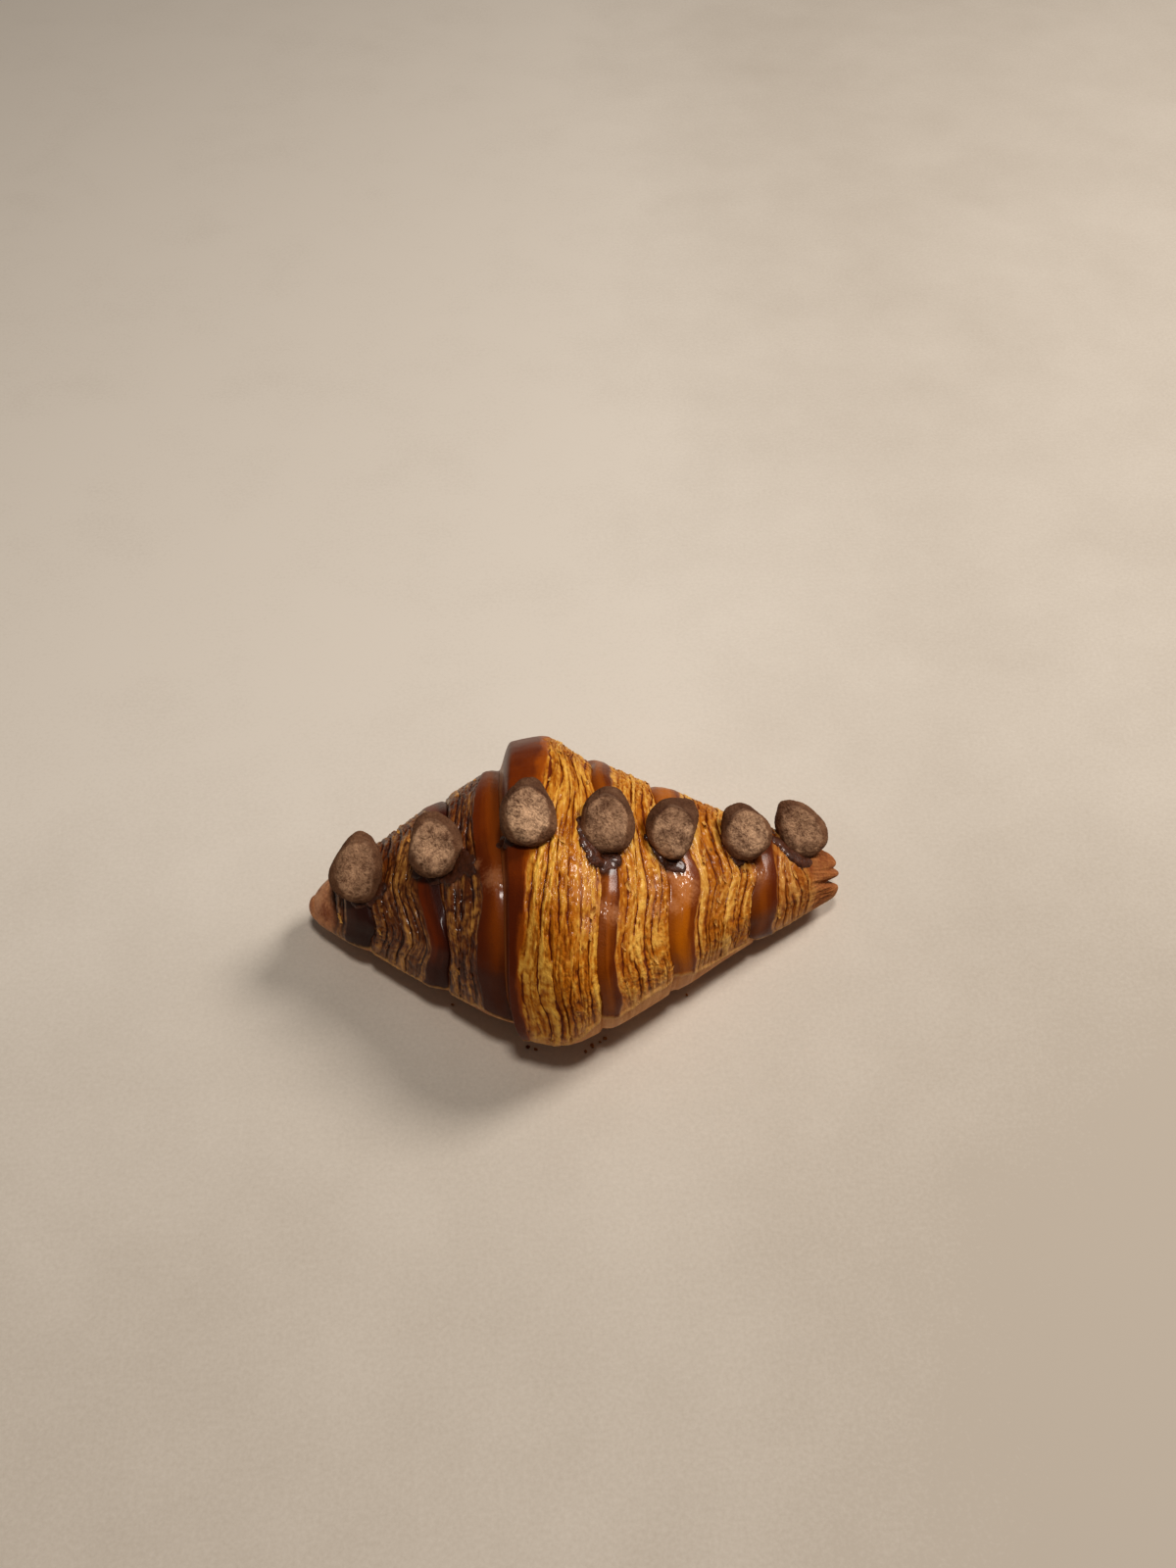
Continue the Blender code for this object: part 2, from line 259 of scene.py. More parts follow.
def stir(x, y, z):
    """Smooth noise at each point of three arrays."""
    x, y, z = np.broadcast_arrays(x, y, z)
    values = [noise.noise(point) for point in zip(x.ravel(), y.ravel(), z.ravel())]
    return np.array(values).reshape(x.shape)


# %% The roll's outline along X
def half_depth(x):
    """Half the roll's depth: a rise from each tip, with the two joined softly at the belly."""
    from_left = np.maximum(0, x - LEFT_TIP - 2) / LEFT_RUN
    from_right = np.maximum(0, RIGHT_TIP - x) / RIGHT_RUN
    left = LEFT_TIP_RADIUS + LEFT_GAIN * from_left**LEFT_POWER
    right = RIGHT_TIP_RADIUS + RIGHT_GAIN * from_right**RIGHT_POWER
    return 0.5 * (left + right - np.sqrt((left - right) ** 2 + (2 * CREST_SOFTNESS) ** 2))


def tip_share(x):
    """0 at the belly and 1 at the tips, for what changes from the one to the other."""
    return np.clip(np.abs(x) / RIGHT_TIP, 0, 1) ** TIP_SHARE_POWER


def cap(x):
    """How the roll closes over its last few millimetres, more bluntly at the right tip."""
    to_end = np.minimum(x - LEFT_TIP, RIGHT_TIP - x)
    t = np.clip(1 - to_end / CAP_LENGTH, 0, 1)
    return np.sqrt(np.maximum(0, 1 - t ** np.where(x > 0, BLUNT_POWER, CAP_POWER)))


def bow(x):
    """How far the roll's middle is bent to the front."""
    from_centre = np.sqrt(((x - BOW_CENTRE) / RIGHT_TIP) ** 2 + BOW_ROUNDNESS)
    return BOW * np.maximum(0, BOW_REACH - from_centre) ** BOW_POWER


# %% How the dough strays and splits
def stray(u, up, front):
    """How far along the roll the dough is off its even place, as a whole ring and as a single layer."""
    fade = np.clip(np.minimum(u - LEFT_TIP, RIGHT_TIP - u) / STRAY_FADE, 0, 1)
    whole_ring = stir(u * RING_ALONG, RING_ROUND * up, RING_ROUND * front)
    one_layer = stir(u * LAYER_ALONG, LAYER_ROUND * up + 5, LAYER_ROUND * front)
    off_skin = u - WIDENING_EDGE
    near_skin = smooth(1 - np.where(off_skin < 0, -off_skin / WIDENING_REACH, off_skin / WIDENING_RUN))
    widening = SKIN_WIDENING * near_skin * smooth(0.5 - 0.8 * front)
    near_edge = smooth(1 - np.abs(u - LAST_EDGE) / LAST_EDGE_REACH)
    slant = LAST_EDGE_SLANT * near_edge * smooth((0.1 - up) / 0.6) * smooth(front / 0.3)
    calm = 1 - LAST_EDGE_CALM * near_edge * smooth(1 + 2 * up)
    return (RING_STRAY * whole_ring + LAYER_STRAY * one_layer) * fade * calm + widening + slant


def split(x, y, z):
    """How far the right tip is drawn back, in a notch and a small fold beside it."""
    tilt = math.radians(SPLIT_TILT)
    across = z * math.cos(tilt) - y * math.sin(tilt)
    notch = SPLIT_DEPTH * hump(across, SPLIT_OFFSET, SPLIT_WIDTH)
    fold = FOLD_DEPTH * hump(across, FOLD_OFFSET, FOLD_WIDTH)
    return (notch + fold) * smooth((x - RIGHT_TIP) / SPLIT_RUN + 1)


# %% Points of the roll
def roll(u, turn, height=0.0):
    """Points, outward directions and relief strength, for u along the dough and turn round the roll."""
    up, front = np.cos(turn), np.sin(turn)
    x = u + stray(u, up, front)
    a = half_depth(x)
    share = tip_share(x)
    drop = a * mix(DROP_BELLY, DROP_TIP, share)
    tall = np.where(up > 0, a * mix(RISE_BELLY, RISE_TIP, share), drop)
    power = 2 / np.where(up > 0, SQUARENESS_ABOVE, SQUARENESS_BELOW)
    side = np.sign(front) * np.abs(front) ** power
    lift = np.sign(up) * np.abs(up) ** power
    swell = SWELL * stir(x * SWELL_ALONG, SWELL_ROUND * up + 7, SWELL_ROUND * front)
    shoulder = smooth((u - SHOULDER_START) / SHOULDER_STEP) * smooth(1 - (u - SHOULDER_START) / SHOULDER_RUN)
    swell = swell + SHOULDER * shoulder * smooth(0.45 - 0.8 * front) * smooth(up * 2)
    strength = (1 - CALM_BELOW * smooth(-2 * up - 0.3)) * np.clip(a / SLENDER, 0.3, 1)
    relief = (height + swell) * strength
    length = np.hypot(side / a, lift / tall)
    out_y, out_z = side / a / length, lift / tall / length
    y = (-a * side - relief * out_y) * cap(x)
    z = (tall * lift + relief * out_z) * cap(x)
    floor = z + TIP_LIFT * share + drop - PRESSED
    points = np.stack(np.broadcast_arrays(x - split(x, y, z), y - bow(x), np.maximum(0, floor)), -1)
    outward = np.stack(np.broadcast_arrays(0 * x, -out_y, out_z), -1)
    return points, outward, np.broadcast_to(strength * cap(x), points.shape[:2])


# %% Where the roll sits in the packed model
def left_end_of_solid():
    return min((vertex.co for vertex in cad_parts["croissant"].data.vertices), key=lambda co: co.x)


own_left_end = roll(np.array([[LEFT_TIP]]), np.array([[0.0]]))[0][0, 0]
SHIFT = np.array(left_end_of_solid()) / MM - own_left_end
print("the roll is shifted by", SHIFT.round(2), "mm")

# %% [markdown]
# ## The rings
#
# Each turn of the sheet shows as a ring: on its tip side the cut edge, which opens into layers, and on its
# belly side a smooth skin that dives under the next ring. One mesh could hold them all, but one object for
# each ring keeps the layers fine without a mesh that is too heavy, and lets a ring's edge tuck under its
# neighbour as the real dough does.

# %% The rings' places, in millimetres along the dough
# A ring's layers run from its foot to its edge, and its skin from there to its end, where the next ring lies
# over it. The last turn lies on top: its skin starts at a free edge, and has risen fully at skin.
CREASE, LIP = 1.1, 1.0
STEP_LENGTH, STEP_SHARE, SKIN_POWER = 0.9, 0.62, 2.2
LAST_TURN_RISE, LAST_TURN_STEP = 3.8, 0.8
RINGS = {
    "turn_1": dict(foot=LEFT_TIP, edge=-67.6, end=-60.0),
    "turn_2": dict(foot=-60.0, edge=-43.5, end=-37.5),
    "turn_3": dict(foot=-37.5, edge=-27.4, end=-21.0),
    "turn_4": dict(foot=5.2, edge=-16.0, end=-21.0, skin=-19.6),
    "turn_5": dict(foot=25.3, edge=10.2, end=5.2),
    "turn_6": dict(foot=52.0, edge=33.3, end=25.3),
    "turn_7": dict(foot=RIGHT_TIP, edge=59.6, end=52.0),
}
TUCK, TUCK_DEPTH, FIRST_TUCK, FIRST_TUCK_DEPTH = 1.8, 1.6, 0.25, 0.35
fine = 1.0
STEP_ALONG = 0.16 * fine
STEP_ROUND = 0.42 * fine


# %% How high a ring stands along the dough
def ring_height(ring, u):
    """The height over the plain roll at u: a step up at the foot, the layers, then the skin."""
    if "skin" in ring:
        start = smooth((u - ring["end"]) / (ring["skin"] - ring["end"]))
        fall = np.clip((u - ring["skin"]) / (ring["foot"] - ring["skin"]), 0, 1)
        step = np.where(fall > LAST_TURN_STEP, smooth((ring["foot"] - u) / STEP_LENGTH), 1.0)
        slope = mix(LAST_TURN_RISE, 0.0, fall) + mix(-CREASE, 0.0, step)
        return np.where(u < ring["skin"], mix(-CREASE, LAST_TURN_RISE, start), slope)
    from_foot = np.abs(u - ring["foot"])
    rise = from_foot / abs(ring["edge"] - ring["foot"])
    fall = np.clip((u - ring["edge"]) / (ring["end"] - ring["edge"]), 0, 1)
    step = STEP_SHARE * smooth(from_foot / STEP_LENGTH)
    layers = mix(-CREASE, LIP, step + (1 - step) * rise)
    return np.where(rise <= 1, layers, mix(LIP, -CREASE, fall**SKIN_POWER))


# %% A ring's two ends, one over its neighbour and one under it
def buried_rows(ring, side, inward):
    """Two rows past one side: folded back under an edge that lies on top, or run on under the next ring."""
    over = side == ring["foot"] or "skin" in ring
    reach = inward * (TUCK if over else -TUCK)
    depths = [-CREASE - FIRST_TUCK_DEPTH * TUCK_DEPTH, -CREASE - TUCK_DEPTH]
    return [side + FIRST_TUCK * reach, side + reach], depths


def tip_rows(u, tip, inward):
    """Rows that crowd together towards a pole, where the roll rounds off."""
    near = np.abs(u - tip) < CAP_LENGTH
    t = np.clip(np.abs(u[near] - tip) / CAP_LENGTH, POLE_GAP, 1)
    u[near] = tip + inward * CAP_LENGTH * (1 - np.cos(0.5 * math.pi * t))
    return u


def ring_stations(ring):
    """Rows from low u to high u, as their u and their height over the plain roll."""
    low, high = sorted((ring["foot"], ring["end"]))
    u = np.linspace(low, high, int((high - low) / STEP_ALONG))
    if low == LEFT_TIP:
        u = tip_rows(u, low, 1)
    if high == RIGHT_TIP:
        u = tip_rows(u, high, -1)
    height = ring_height(ring, u)
    if low != LEFT_TIP:
        more_u, more_height = buried_rows(ring, low, 1)
        u, height = np.concatenate((more_u[::-1], u)), np.concatenate((more_height[::-1], height))
    if high != RIGHT_TIP:
        more_u, more_height = buried_rows(ring, high, -1)
        u, height = np.concatenate((u, more_u)), np.concatenate((height, more_height))
    return u, height


for name, ring in RINGS.items():
    print(name, "has", len(ring_stations(ring)[0]), "rows")


# %% A mesh from rows of points
def store_on_points(mesh, attributes):
    """Stores a number or a vector for each point of a mesh, under each name."""
    for name, values in attributes.items():
        flat = np.array(values, dtype=np.float32).reshape(len(mesh.vertices), -1)
        kind, field = ("FLOAT", "value") if flat.shape[1] == 1 else ("FLOAT_VECTOR", "vector")
        mesh.attributes.new(name, kind, "POINT").data.foreach_set(field, flat.ravel())


def tube_mesh(name, points, attributes, first_pole, last_pole):
    """A closed mesh from rows of points round a tube, with named numbers and vectors on its points."""
    rows, columns = points.shape[:2]
    index = np.arange(rows * columns).reshape(rows, columns)
    beside = np.roll(index, -1, axis=1)
    quads = np.stack((index[:-1], beside[:-1], beside[1:], index[1:]), -1).reshape(-1, 4)
    first, last = rows * columns, rows * columns + 1
    fans = [(index[0, i], first, beside[0, i]) for i in range(columns)]
    fans += [(index[-1, i], beside[-1, i], last) for i in range(columns)]
    vertices = np.concatenate((points.reshape(-1, 3), [first_pole, last_pole])) * MM
    mesh = bpy.data.meshes.new(name)
    mesh.from_pydata(vertices.tolist(), [], quads.tolist() + fans)
    flat = {key: values.reshape(rows * columns, -1) for key, values in attributes.items()}
    store_on_points(mesh, {key: np.concatenate((f, f[:1], f[-1:])) for key, f in flat.items()})
    mesh.shade_smooth()
    return mesh


# %% Patches on the roll
# Where the glaze blistered, and where melted chocolate gathered: place along, turn in degrees, reach in mm.
BLISTERS = (
    (-53.7, 26, 2.5), (-33.8, 23, 2.0), (-27.4, 15, 2.0), (-23.4, 22, 4.0), (-0.5, 20, 3.5),
    (-0.2, 29, 4.0), (1.2, 41, 3.5), (4.2, 24, 3.0), (5.1, 34, 3.0), (8.5, 38, 3.5), (20.2, 27, 3.0),
    (20.7, 39, 3.0), (26.5, 20, 3.0), (28.5, 25, 4.0), (29.4, 34, 4.0), (26.5, 39, 3.0),
    (30.5, 30, 4.0), (52.3, 24, 3.0),
)
CHOCOLATE = (
    (-62.5, 30, 2.0), (-59.5, 27, 2.2), (-56.6, 22, 2.0), (-55.0, 20, 1.4), (-43.0, 14, 1.6),
    (-38.6, 18, 1.8), (-35.2, 20, 1.4), (-32.8, 10, 1.6), (-30.6, 13, 2.0), (-29.6, 17, 1.4),
    (-32.6, 17, 1.5), (-28.8, 12, 1.1), (-31.0, 8, 1.5), (-20.2, 6, 1.5), (-18.9, 10, 1.3),
    (-1.0, 1, 1.3), (-0.7, 4, 1.7), (0.3, 8, 2.0), (3.2, 13, 2.3), (4.5, 10, 2.0), (6.6, 16, 2.3),
    (9.0, 14, 1.8), (21.7, 2, 1.4), (23.6, 8, 1.7), (26.0, 13, 2.2), (27.5, 15, 1.9), (28.5, 17, 1.7),
    (46.0, 13, 1.4), (60.5, -14, 1.5), (62.5, -9, 1.6), (64.5, -3, 1.7), (66.5, 3, 1.8), (68.5, 7, 1.7),
    (70.0, 8, 1.4),
)
# A dab soaks the crust a little further than it reaches. These patches also paint the shade under the
# nuggets, and the last three, with no dab, are painted shade alone.
SOAK_AND_SHADE_PATCHES = [(u, degrees + 2, 1.3 * reach + 0.6) for u, degrees, reach in CHOCOLATE]
SOAK_AND_SHADE_PATCHES += [(40.6, -1, 1.2), (39.4, 6, 1.2), (38.2, 13, 1.2)]


def patchwork(points, patches):
    """How strongly each point lies in any of the patches, from 0 to 1."""
    strongest = np.zeros(points.shape[:2])
    for u, degrees, reach in patches:
        centre = roll(np.array([[u]]), np.array([[math.radians(degrees)]]))[0][0, 0] + SHIFT
        off = np.linalg.norm(points - centre, axis=-1)
        strongest = np.maximum(strongest, hump(off, 0, reach))
    return strongest


print(len(BLISTERS), "blisters,", len(CHOCOLATE), "dabs of chocolate,", len(SOAK_AND_SHADE_PATCHES), "stains")

# %% A ring as a mesh that knows its own dough
# Where the smooth underside begins: place along, then turn from the ridge in degrees
FOOT_TURNS = (
    (-80, 112), (-64, 101), (-50, 105), (-34, 102), (-27, 98), (-20, 105),
    (-8, 105), (4, 93), (30, 90), (42, 97), (56, 106), (82, 112),
)
KNOB_END, KNOB_BLEND = -70.0, 3.0
POINT_START, POINT_BLEND = 68.0, 5.0
RADIUS_SHARE = 0.83  # of the half depth, since the roll is lower than it is deep


def ring_mesh(name, ring):
    """A ring's mesh, with what the trees and finishes need to know stored on its points."""
    u, height = ring_stations(ring)
    radius = RADIUS_SHARE * float(half_depth(np.array(ring["edge"])))
    columns = int(2 * math.pi * radius / STEP_ROUND)
    turn = np.linspace(-math.pi, math.pi, columns, endpoint=False)[None, :]
    points, outward, strength = roll(u[:, None], turn, height[:, None])
    points = points + SHIFT
    towards_foot = math.copysign(1, ring["foot"] - ring["edge"])
    everywhere = np.ones(points.shape[:2])
    foot_turn = np.radians(np.interp(u, *zip(*FOOT_TURNS)))[:, None]
    attributes = {
        "along": u[:, None] * everywhere,
        "girth": turn * radius * everywhere,
        "below_foot": (np.abs(turn) - foot_turn) * radius * everywhere,
        "from_edge": (u[:, None] - ring["edge"]) * towards_foot * everywhere,
        "outward": outward,
        "strength": strength,
        "blister": patchwork(points, BLISTERS),
        # Where chocolate soaked in, and where shade is painted under the nuggets.
        "stain": patchwork(points, SOAK_AND_SHADE_PATCHES),
        "knob": smooth((KNOB_END - u[:, None]) / KNOB_BLEND) * everywhere,
        "point": smooth((u[:, None] - POINT_START) / POINT_BLEND) * everywhere,
    }
    return tube_mesh(name, points, attributes, points[0].mean(0), points[-1].mean(0))


# %% [markdown]
# ## Opening the layers
#
# The cut edge of the dough is a stack of sheets, each thinner than a coin, that puffed apart in the oven.
# They run round the roll, swell, and merge with their neighbours. A displacement in the material would leave
# the outline smooth, so a geometry tree moves real points. Strips of unequal width, swayed by noise that is
# drawn out round the roll, have just that pattern: long lenses that meet in narrow dark gaps. The tree makes
# it for any ring, so it is built once, with its sizes as inputs.


# %% [markdown]
# ## Opening the layers
#
# The cut edge of the dough is a stack of sheets, each thinner than a coin, that puffed apart in the oven.
# They run round the roll, swell, and merge with their neighbours. Cells stretched along the girth have just
# that pattern: long lenses that meet in narrow dark gaps. The tree below makes it for any ring, so it is
# built once, with its sizes as inputs.


# %% Inputs, attributes and results of a geometry tree
def new_geometry_tree(name, inputs):
    """A geometry tree with a Geometry input and output, and a number input for each name in inputs."""
    tree = bpy.data.node_groups.new(name, "GeometryNodeTree")
    tree.interface.new_socket("Geometry", in_out="INPUT", socket_type="NodeSocketGeometry")
    tree.interface.new_socket("Geometry", in_out="OUTPUT", socket_type="NodeSocketGeometry")
    kinds = {float: "NodeSocketFloat", int: "NodeSocketInt", bpy.types.Material: "NodeSocketMaterial"}
    for key, value in inputs.items():
        kind = kinds[bpy.types.Material if value is None else type(value)]
        socket = tree.interface.new_socket(key, in_out="INPUT", socket_type=kind)
        if value is not None:
            socket.default_value = value
    bench = Bench(tree)
    source = tree.nodes.new("NodeGroupInput")
    given = {socket.name: Value(bench, socket) for socket in source.outputs if socket.name}
    return bench, given


def store(bench, geometry, name, value):
    sockets = {"Geometry": geometry, "Name": name, "Value": value}
    return bench.add("GeometryNodeStoreNamedAttribute", {"data_type": "FLOAT", "domain": "POINT"}, sockets)


def moved_out(bench, geometry, direction, height):
    """The geometry with each point moved along a direction, by a height in millimetres."""
    offset = bench.scaled(bench.scaled(direction, height), MM)
    return bench.add("GeometryNodeSetPosition", None, {"Geometry": geometry, "Offset": offset})


def result(bench, geometry, material):
    """Ends a tree with Realize Instances and Set Material."""
    real = bench.add("GeometryNodeRealizeInstances", None, {"Geometry": geometry})
    dressed = bench.add("GeometryNodeSetMaterial", None, {"Geometry": real, "Material": material})
    output = bench.tree.nodes.new("NodeGroupOutput")
    bench.tree.links.new(dressed.socket, output.inputs[0])


# %% Running a tree on a mesh
def grow(name, mesh, tree, **inputs):
    """Evaluates the tree on the mesh and returns a plain object, with its place in its mesh."""
    seed = bpy.data.objects.new(name + "_start", mesh)
    bpy.context.scene.collection.objects.link(seed)
    modifier = seed.modifiers.new("Tree", "NODES")
    modifier.node_group = tree
    for item in tree.interface.items_tree:
        key = item.name.lower().replace(" ", "_")
        if item.in_out == "INPUT" and key in inputs:
            modifier[item.identifier] = inputs[key]
    seed.update_tag()
    depsgraph = bpy.context.evaluated_depsgraph_get()
    shown = seed.evaluated_get(depsgraph)
    grown = bpy.data.meshes.new_from_object(shown, preserve_all_data_layers=True, depsgraph=depsgraph)
    grown.name = name
    bpy.data.objects.remove(seed)
    piece = bpy.data.objects.new(name, grown)
    bpy.context.scene.collection.objects.link(piece)
    return piece


# %% The dough as a tree sees it
ON_RINGS = ("along", "girth", "below_foot", "from_edge", "blister", "knob", "point")


class Dough:
    """The numbers stored on a ring's points, and what is worked out from them on the way."""

    def __init__(self, bench, read, names, layer=0.0):
        self.bench = bench
        self.layer = layer
        for name in names:
            setattr(self, name, read(bench, name))

    def grain(self, drawn_out, size, detail, roughness, seed):
        """Noise drawn out round the roll: the smaller the first number, the longer its lumps."""
        place = self.bench.vector(self.along, self.girth * drawn_out, self.layer)
        return self.bench.grain(place, size, detail, roughness, seed)


# %% The strands of a cut edge
def lay_strands(dough, given):
    """Long strands that wander and merge: a gap between two of them opens here and closes there."""
    sway = dough.grain(0.14, 9.0, 1.0, 0.5, 3.0)
    tremble = dough.grain(0.50, 2.4, 2.0, 0.5, 9.0)
    strand = dough.along / given["Layer Width"] + (sway + tremble * 0.26) * given["Sway"]
    strand = strand + given["Seed"] * 7.3
    dough.gap = dough.bench.gap(strand)
    dough.tone = dough.bench.cell(strand)
    dough.deeper = dough.grain(0.20, 3.2, 1.0, 0.5, 21.0).ramp(-0.22, 0.26, 0.10, 1.0)
    dough.billow = (dough.gap / 0.32).at_most(1.0) ** 0.5
    fine_sway = dough.grain(0.24, 6.0, 1.0, 0.5, 13.0)
    fine_strand = dough.along / given["Fine Width"] + fine_sway * 1.3 + tremble * 0.6 + given["Seed"] * 3.1
    dough.fine_gap = dough.bench.gap(fine_strand)
    dough.fine_deeper = dough.grain(0.35, 1.8, 1.0, 0.5, 25.0).ramp(-0.15, 0.4, 0.0, 1.0)
    dough.fine_billow = (dough.fine_gap / 0.30).at_most(1.0) ** 0.6
    # Crinkles on the strands, a little longer round the roll than across
    dough.crinkled = dough.grain(0.60, 1.1, 3.0, 0.62, 4.0)
    creased = dough.grain(0.42, 2.4, 2.0, 0.5, 8.0)
    dough.folds = (1 - creased.math("ABSOLUTE") * 6).at_least(0.0)


def layers_height(dough, given):
    """How far the open layers stand over the ring, in millimetres."""
    strands = (dough.billow - 1) * given["Layer Depth"] * dough.deeper
    sheets = (dough.fine_billow - 1) * given["Fine Depth"] * dough.fine_deeper
    return strands + sheets + (dough.tone - 0.5) * 0.45 + dough.crinkled * 0.55 - dough.folds * 0.30


def layers_shown(dough, cut, base, rim, gathered_fold):
    """The numbers that the finish will read from the points, by name."""
    # valleys, dark_line and fine_line tell the finish where to paint shade down in the gaps.
    valleys = (dough.billow - 1) * dough.deeper * 0.6 + (dough.fine_billow - 1) * dough.fine_deeper * 0.4
    dark_line = dough.gap.ramp(0.0, 0.11, 1.0, 0.0) * dough.deeper
    fine_line = dough.fine_gap.ramp(0.0, 0.12, 1.0, 0.0) * dough.fine_deeper * 0.8
    return dict(
        cut=cut,
        crest=0.5 + valleys + dough.crinkled * 0.9,
        dark_line=dark_line,
        fine_line=fine_line.at_least(dough.folds * 0.5),
        tone=dough.tone,
        base=base,
        rim=rim,
        gathered_fold=gathered_fold,
    )


def grounded(bench, geometry):
    """Lifts the points that would sink into the table up to it."""
    x, y, z = bench.parts(bench.add("GeometryNodeInputPosition"))
    sockets = {"Geometry": geometry, "Position": bench.vector(x, y, z.at_least(0.0))}
    return bench.add("GeometryNodeSetPosition", None, sockets)


# %% The tree that opens the layers
def layers_tree():
    inputs = {
        "Layer Width": 3.0,
        "Layer Depth": 0.85,
        "Sway": 0.9,
        "Fine Width": 1.4,
        "Fine Depth": 0.50,
        "Ragged Edge": 1.0,
        "Seed": 1.0,
        "Material": None,
    }
    bench, given = new_geometry_tree("Open the layers", inputs)
    place = bench.scaled(bench.add("GeometryNodeInputPosition"), 1 / MM)
    dough = Dough(bench, attribute, ON_RINGS + ("strength",), given["Seed"])
    lay_strands(dough, given)
    # Where the skin ends and the layers begin
    ragged = bench.grain(place, 9.0, 2.0, 0.6, 31.0) + bench.grain(place, 2.5, 1.0, 0.5, 33.0) * 0.4
    inside = dough.from_edge + ragged * given["Ragged Edge"]
    cut = inside.ramp(-0.25, 0.35)
    layers = layers_height(dough, given) * inside.ramp(0.0, 4.0, 0.5, 1.0)
    bubbles = bench.grain(place, 1.05, 3.0, 0.6, 51.0) * 0.44 * dough.blister.ramp(0.25, 0.8)
    dents = bench.grain(place, 9.0, 2.0, 0.5, 5.0) * 0.22 + dough.crinkled * 0.03 + 0.2
    height = dents + (layers - dents) * cut + bubbles
    # At the two tips the sheet is gathered, so its folds run along the roll
    gathered = bench.grain(bench.vector(dough.along * 0.16, dough.girth * 0.8, 0.0), 1.5, 2.0, 0.55, 61.0)
    gathered_fold = (1 - gathered.math("ABSOLUTE") * 4).at_least(0.0)
    tip = (gathered * 0.5 - gathered_fold * 0.75) * dough.point + gathered * 0.18 * dough.knob
    height = height + (tip - height) * (dough.knob + dough.point)
    # The bottom bakes smooth, under a thin rim
    edge = dough.below_foot + bench.grain(place, 7.0, 3.0, 0.6, 41.0) * 1.8
    base = edge.ramp(-0.4, 0.5)
    rim = edge.math("ABSOLUTE").ramp(0.9, 0.0)
    height = height + (0.0 - height) * base + rim * 0.40
    outward = attribute(bench, "outward", "FLOAT_VECTOR")
    moved = grounded(bench, moved_out(bench, given["Geometry"], outward, height * dough.strength))
    shown = layers_shown(dough, cut, base, rim, gathered_fold)
    for name, value in shown.items():
        moved = store(bench, moved, name, value)
    result(bench, moved, given["Material"])
    return bench.tree, tuple(shown)


open_layers, ON_LAYERS = layers_tree()
print(open_layers.name, "has", len(open_layers.nodes), "nodes")

# %% [markdown]
# ## The crust's finish
#
# A skin is egg wash baked to mahogany, under a thin glaze, with painted shade low down and where the next
# ring
# covers it. The layers are paler: straw and honey where they stand up, and brown where they part, with
# painted shade down in the gaps. An image could colour them, but it would have to be laid on the relief by
# hand. This finish reads what the tree stored on each point instead, so colour follows the shape.


# %% Colours and shader trees
def display(red, green, blue):
    """A display colour, 0 to 255, as the linear colour that a shader takes."""
    levels = (c / 255 for c in (red, green, blue))
    return tuple(c / 12.92 if c <= 0.04045 else ((c + 0.055) / 1.055) ** 2.4 for c in levels) + (1.0,)


def palette(**colours):
    """Named display colours, ready for a shader."""
    return SimpleNamespace(**{name: display(*colour) for name, colour in colours.items()})


def blend(bench, share, a, b):
    settings = {"data_type": "RGBA", "blend_type": "MIX", "clamp_factor": True}
    return bench.add("ShaderNodeMix", settings, {"Factor": share, "A": a, "B": b})


def finish_named(name):
    """A new material's bench, its shader node, and places on the object in millimetres."""
    material = bpy.data.materials.new(name)
    material.use_nodes = True
    bench = Bench(material.node_tree)
    shader = material.node_tree.nodes["Principled BSDF"]
    place = bench.scaled(bench.add("ShaderNodeTexCoord", None, (), "Object"), 1 / MM)
    return material, bench, shader, place


def dress(bench, shader, **sockets):
    for name, value in sockets.items():
        socket = shader.inputs[name.replace("_", " ")]
        if isinstance(value, Value):
            bench.tree.links.new(value.socket, socket)
        else:
            socket.default_value = value


def bumps(bench, strength, depth, height):
    """Relief too fine for the mesh: it only changes how the surface takes the light. Depth is in metres."""
    return bench.add("ShaderNodeBump", None, {"Strength": strength, "Distance": depth, "Height": height})


# %% The colours that all rings share
BAKED = palette(
    lip=(176, 112, 62), steamed=(214, 162, 112), blister=(204, 140, 92), soaked=(48, 21, 9),
    tip_dark=(134, 76, 42), tip_pale=(188, 124, 78), tip_fold=(92, 42, 18), rim=(212, 164, 100),
    knob_dark=(144, 78, 44), knob_pale=(224, 160, 114), under_dark=(178, 114, 68), under_pale=(226, 174, 120),
)
print(len(vars(BAKED)), "shared colours")


# %% The skin, from its free edge to where the next ring covers it
def skin_colour(dough, look):
    bench, cloud, streak = dough.bench, dough.cloud, dough.streak
    across = (cloud * 1.2 + streak * 1.6 - dough.from_edge).ramp(look.turns_at * 0.3, look.turns_at * 1.7)
    skin = blend(bench, across, look.skin_edge, look.skin_end)
    # Painted shade: the skin darkens lower down.
    low = (look.low_from - dough.z + cloud * 8 + streak * 4).ramp(0.0, 16.0)
    skin = blend(bench, low * (across * (0.9 - look.low_edge) + look.low_edge), skin, look.skin_low)
    # Painted shade in the crease, where the next ring covers the skin.
    crease_shade = (cloud * 0.6 + streak * 0.8 - dough.from_edge).ramp(look.skin_width - 3.2, look.skin_width)
    skin = blend(bench, crease_shade * 0.6, skin, look.skin_low)
    on_lip = (dough.from_edge * -1 + cloud * 0.3).ramp(look.lip - 0.35, look.lip)
    skin = blend(bench, on_lip * 0.7, skin, BAKED.lip)
    # The skin's own darker mottling.
    speckled = (dough.fleck * 0.6 + cloud * 0.8 + streak * 0.8 - 0.15).ramp(0.0, 1.0)
    return blend(bench, speckled * 0.55, skin, look.skin_low)
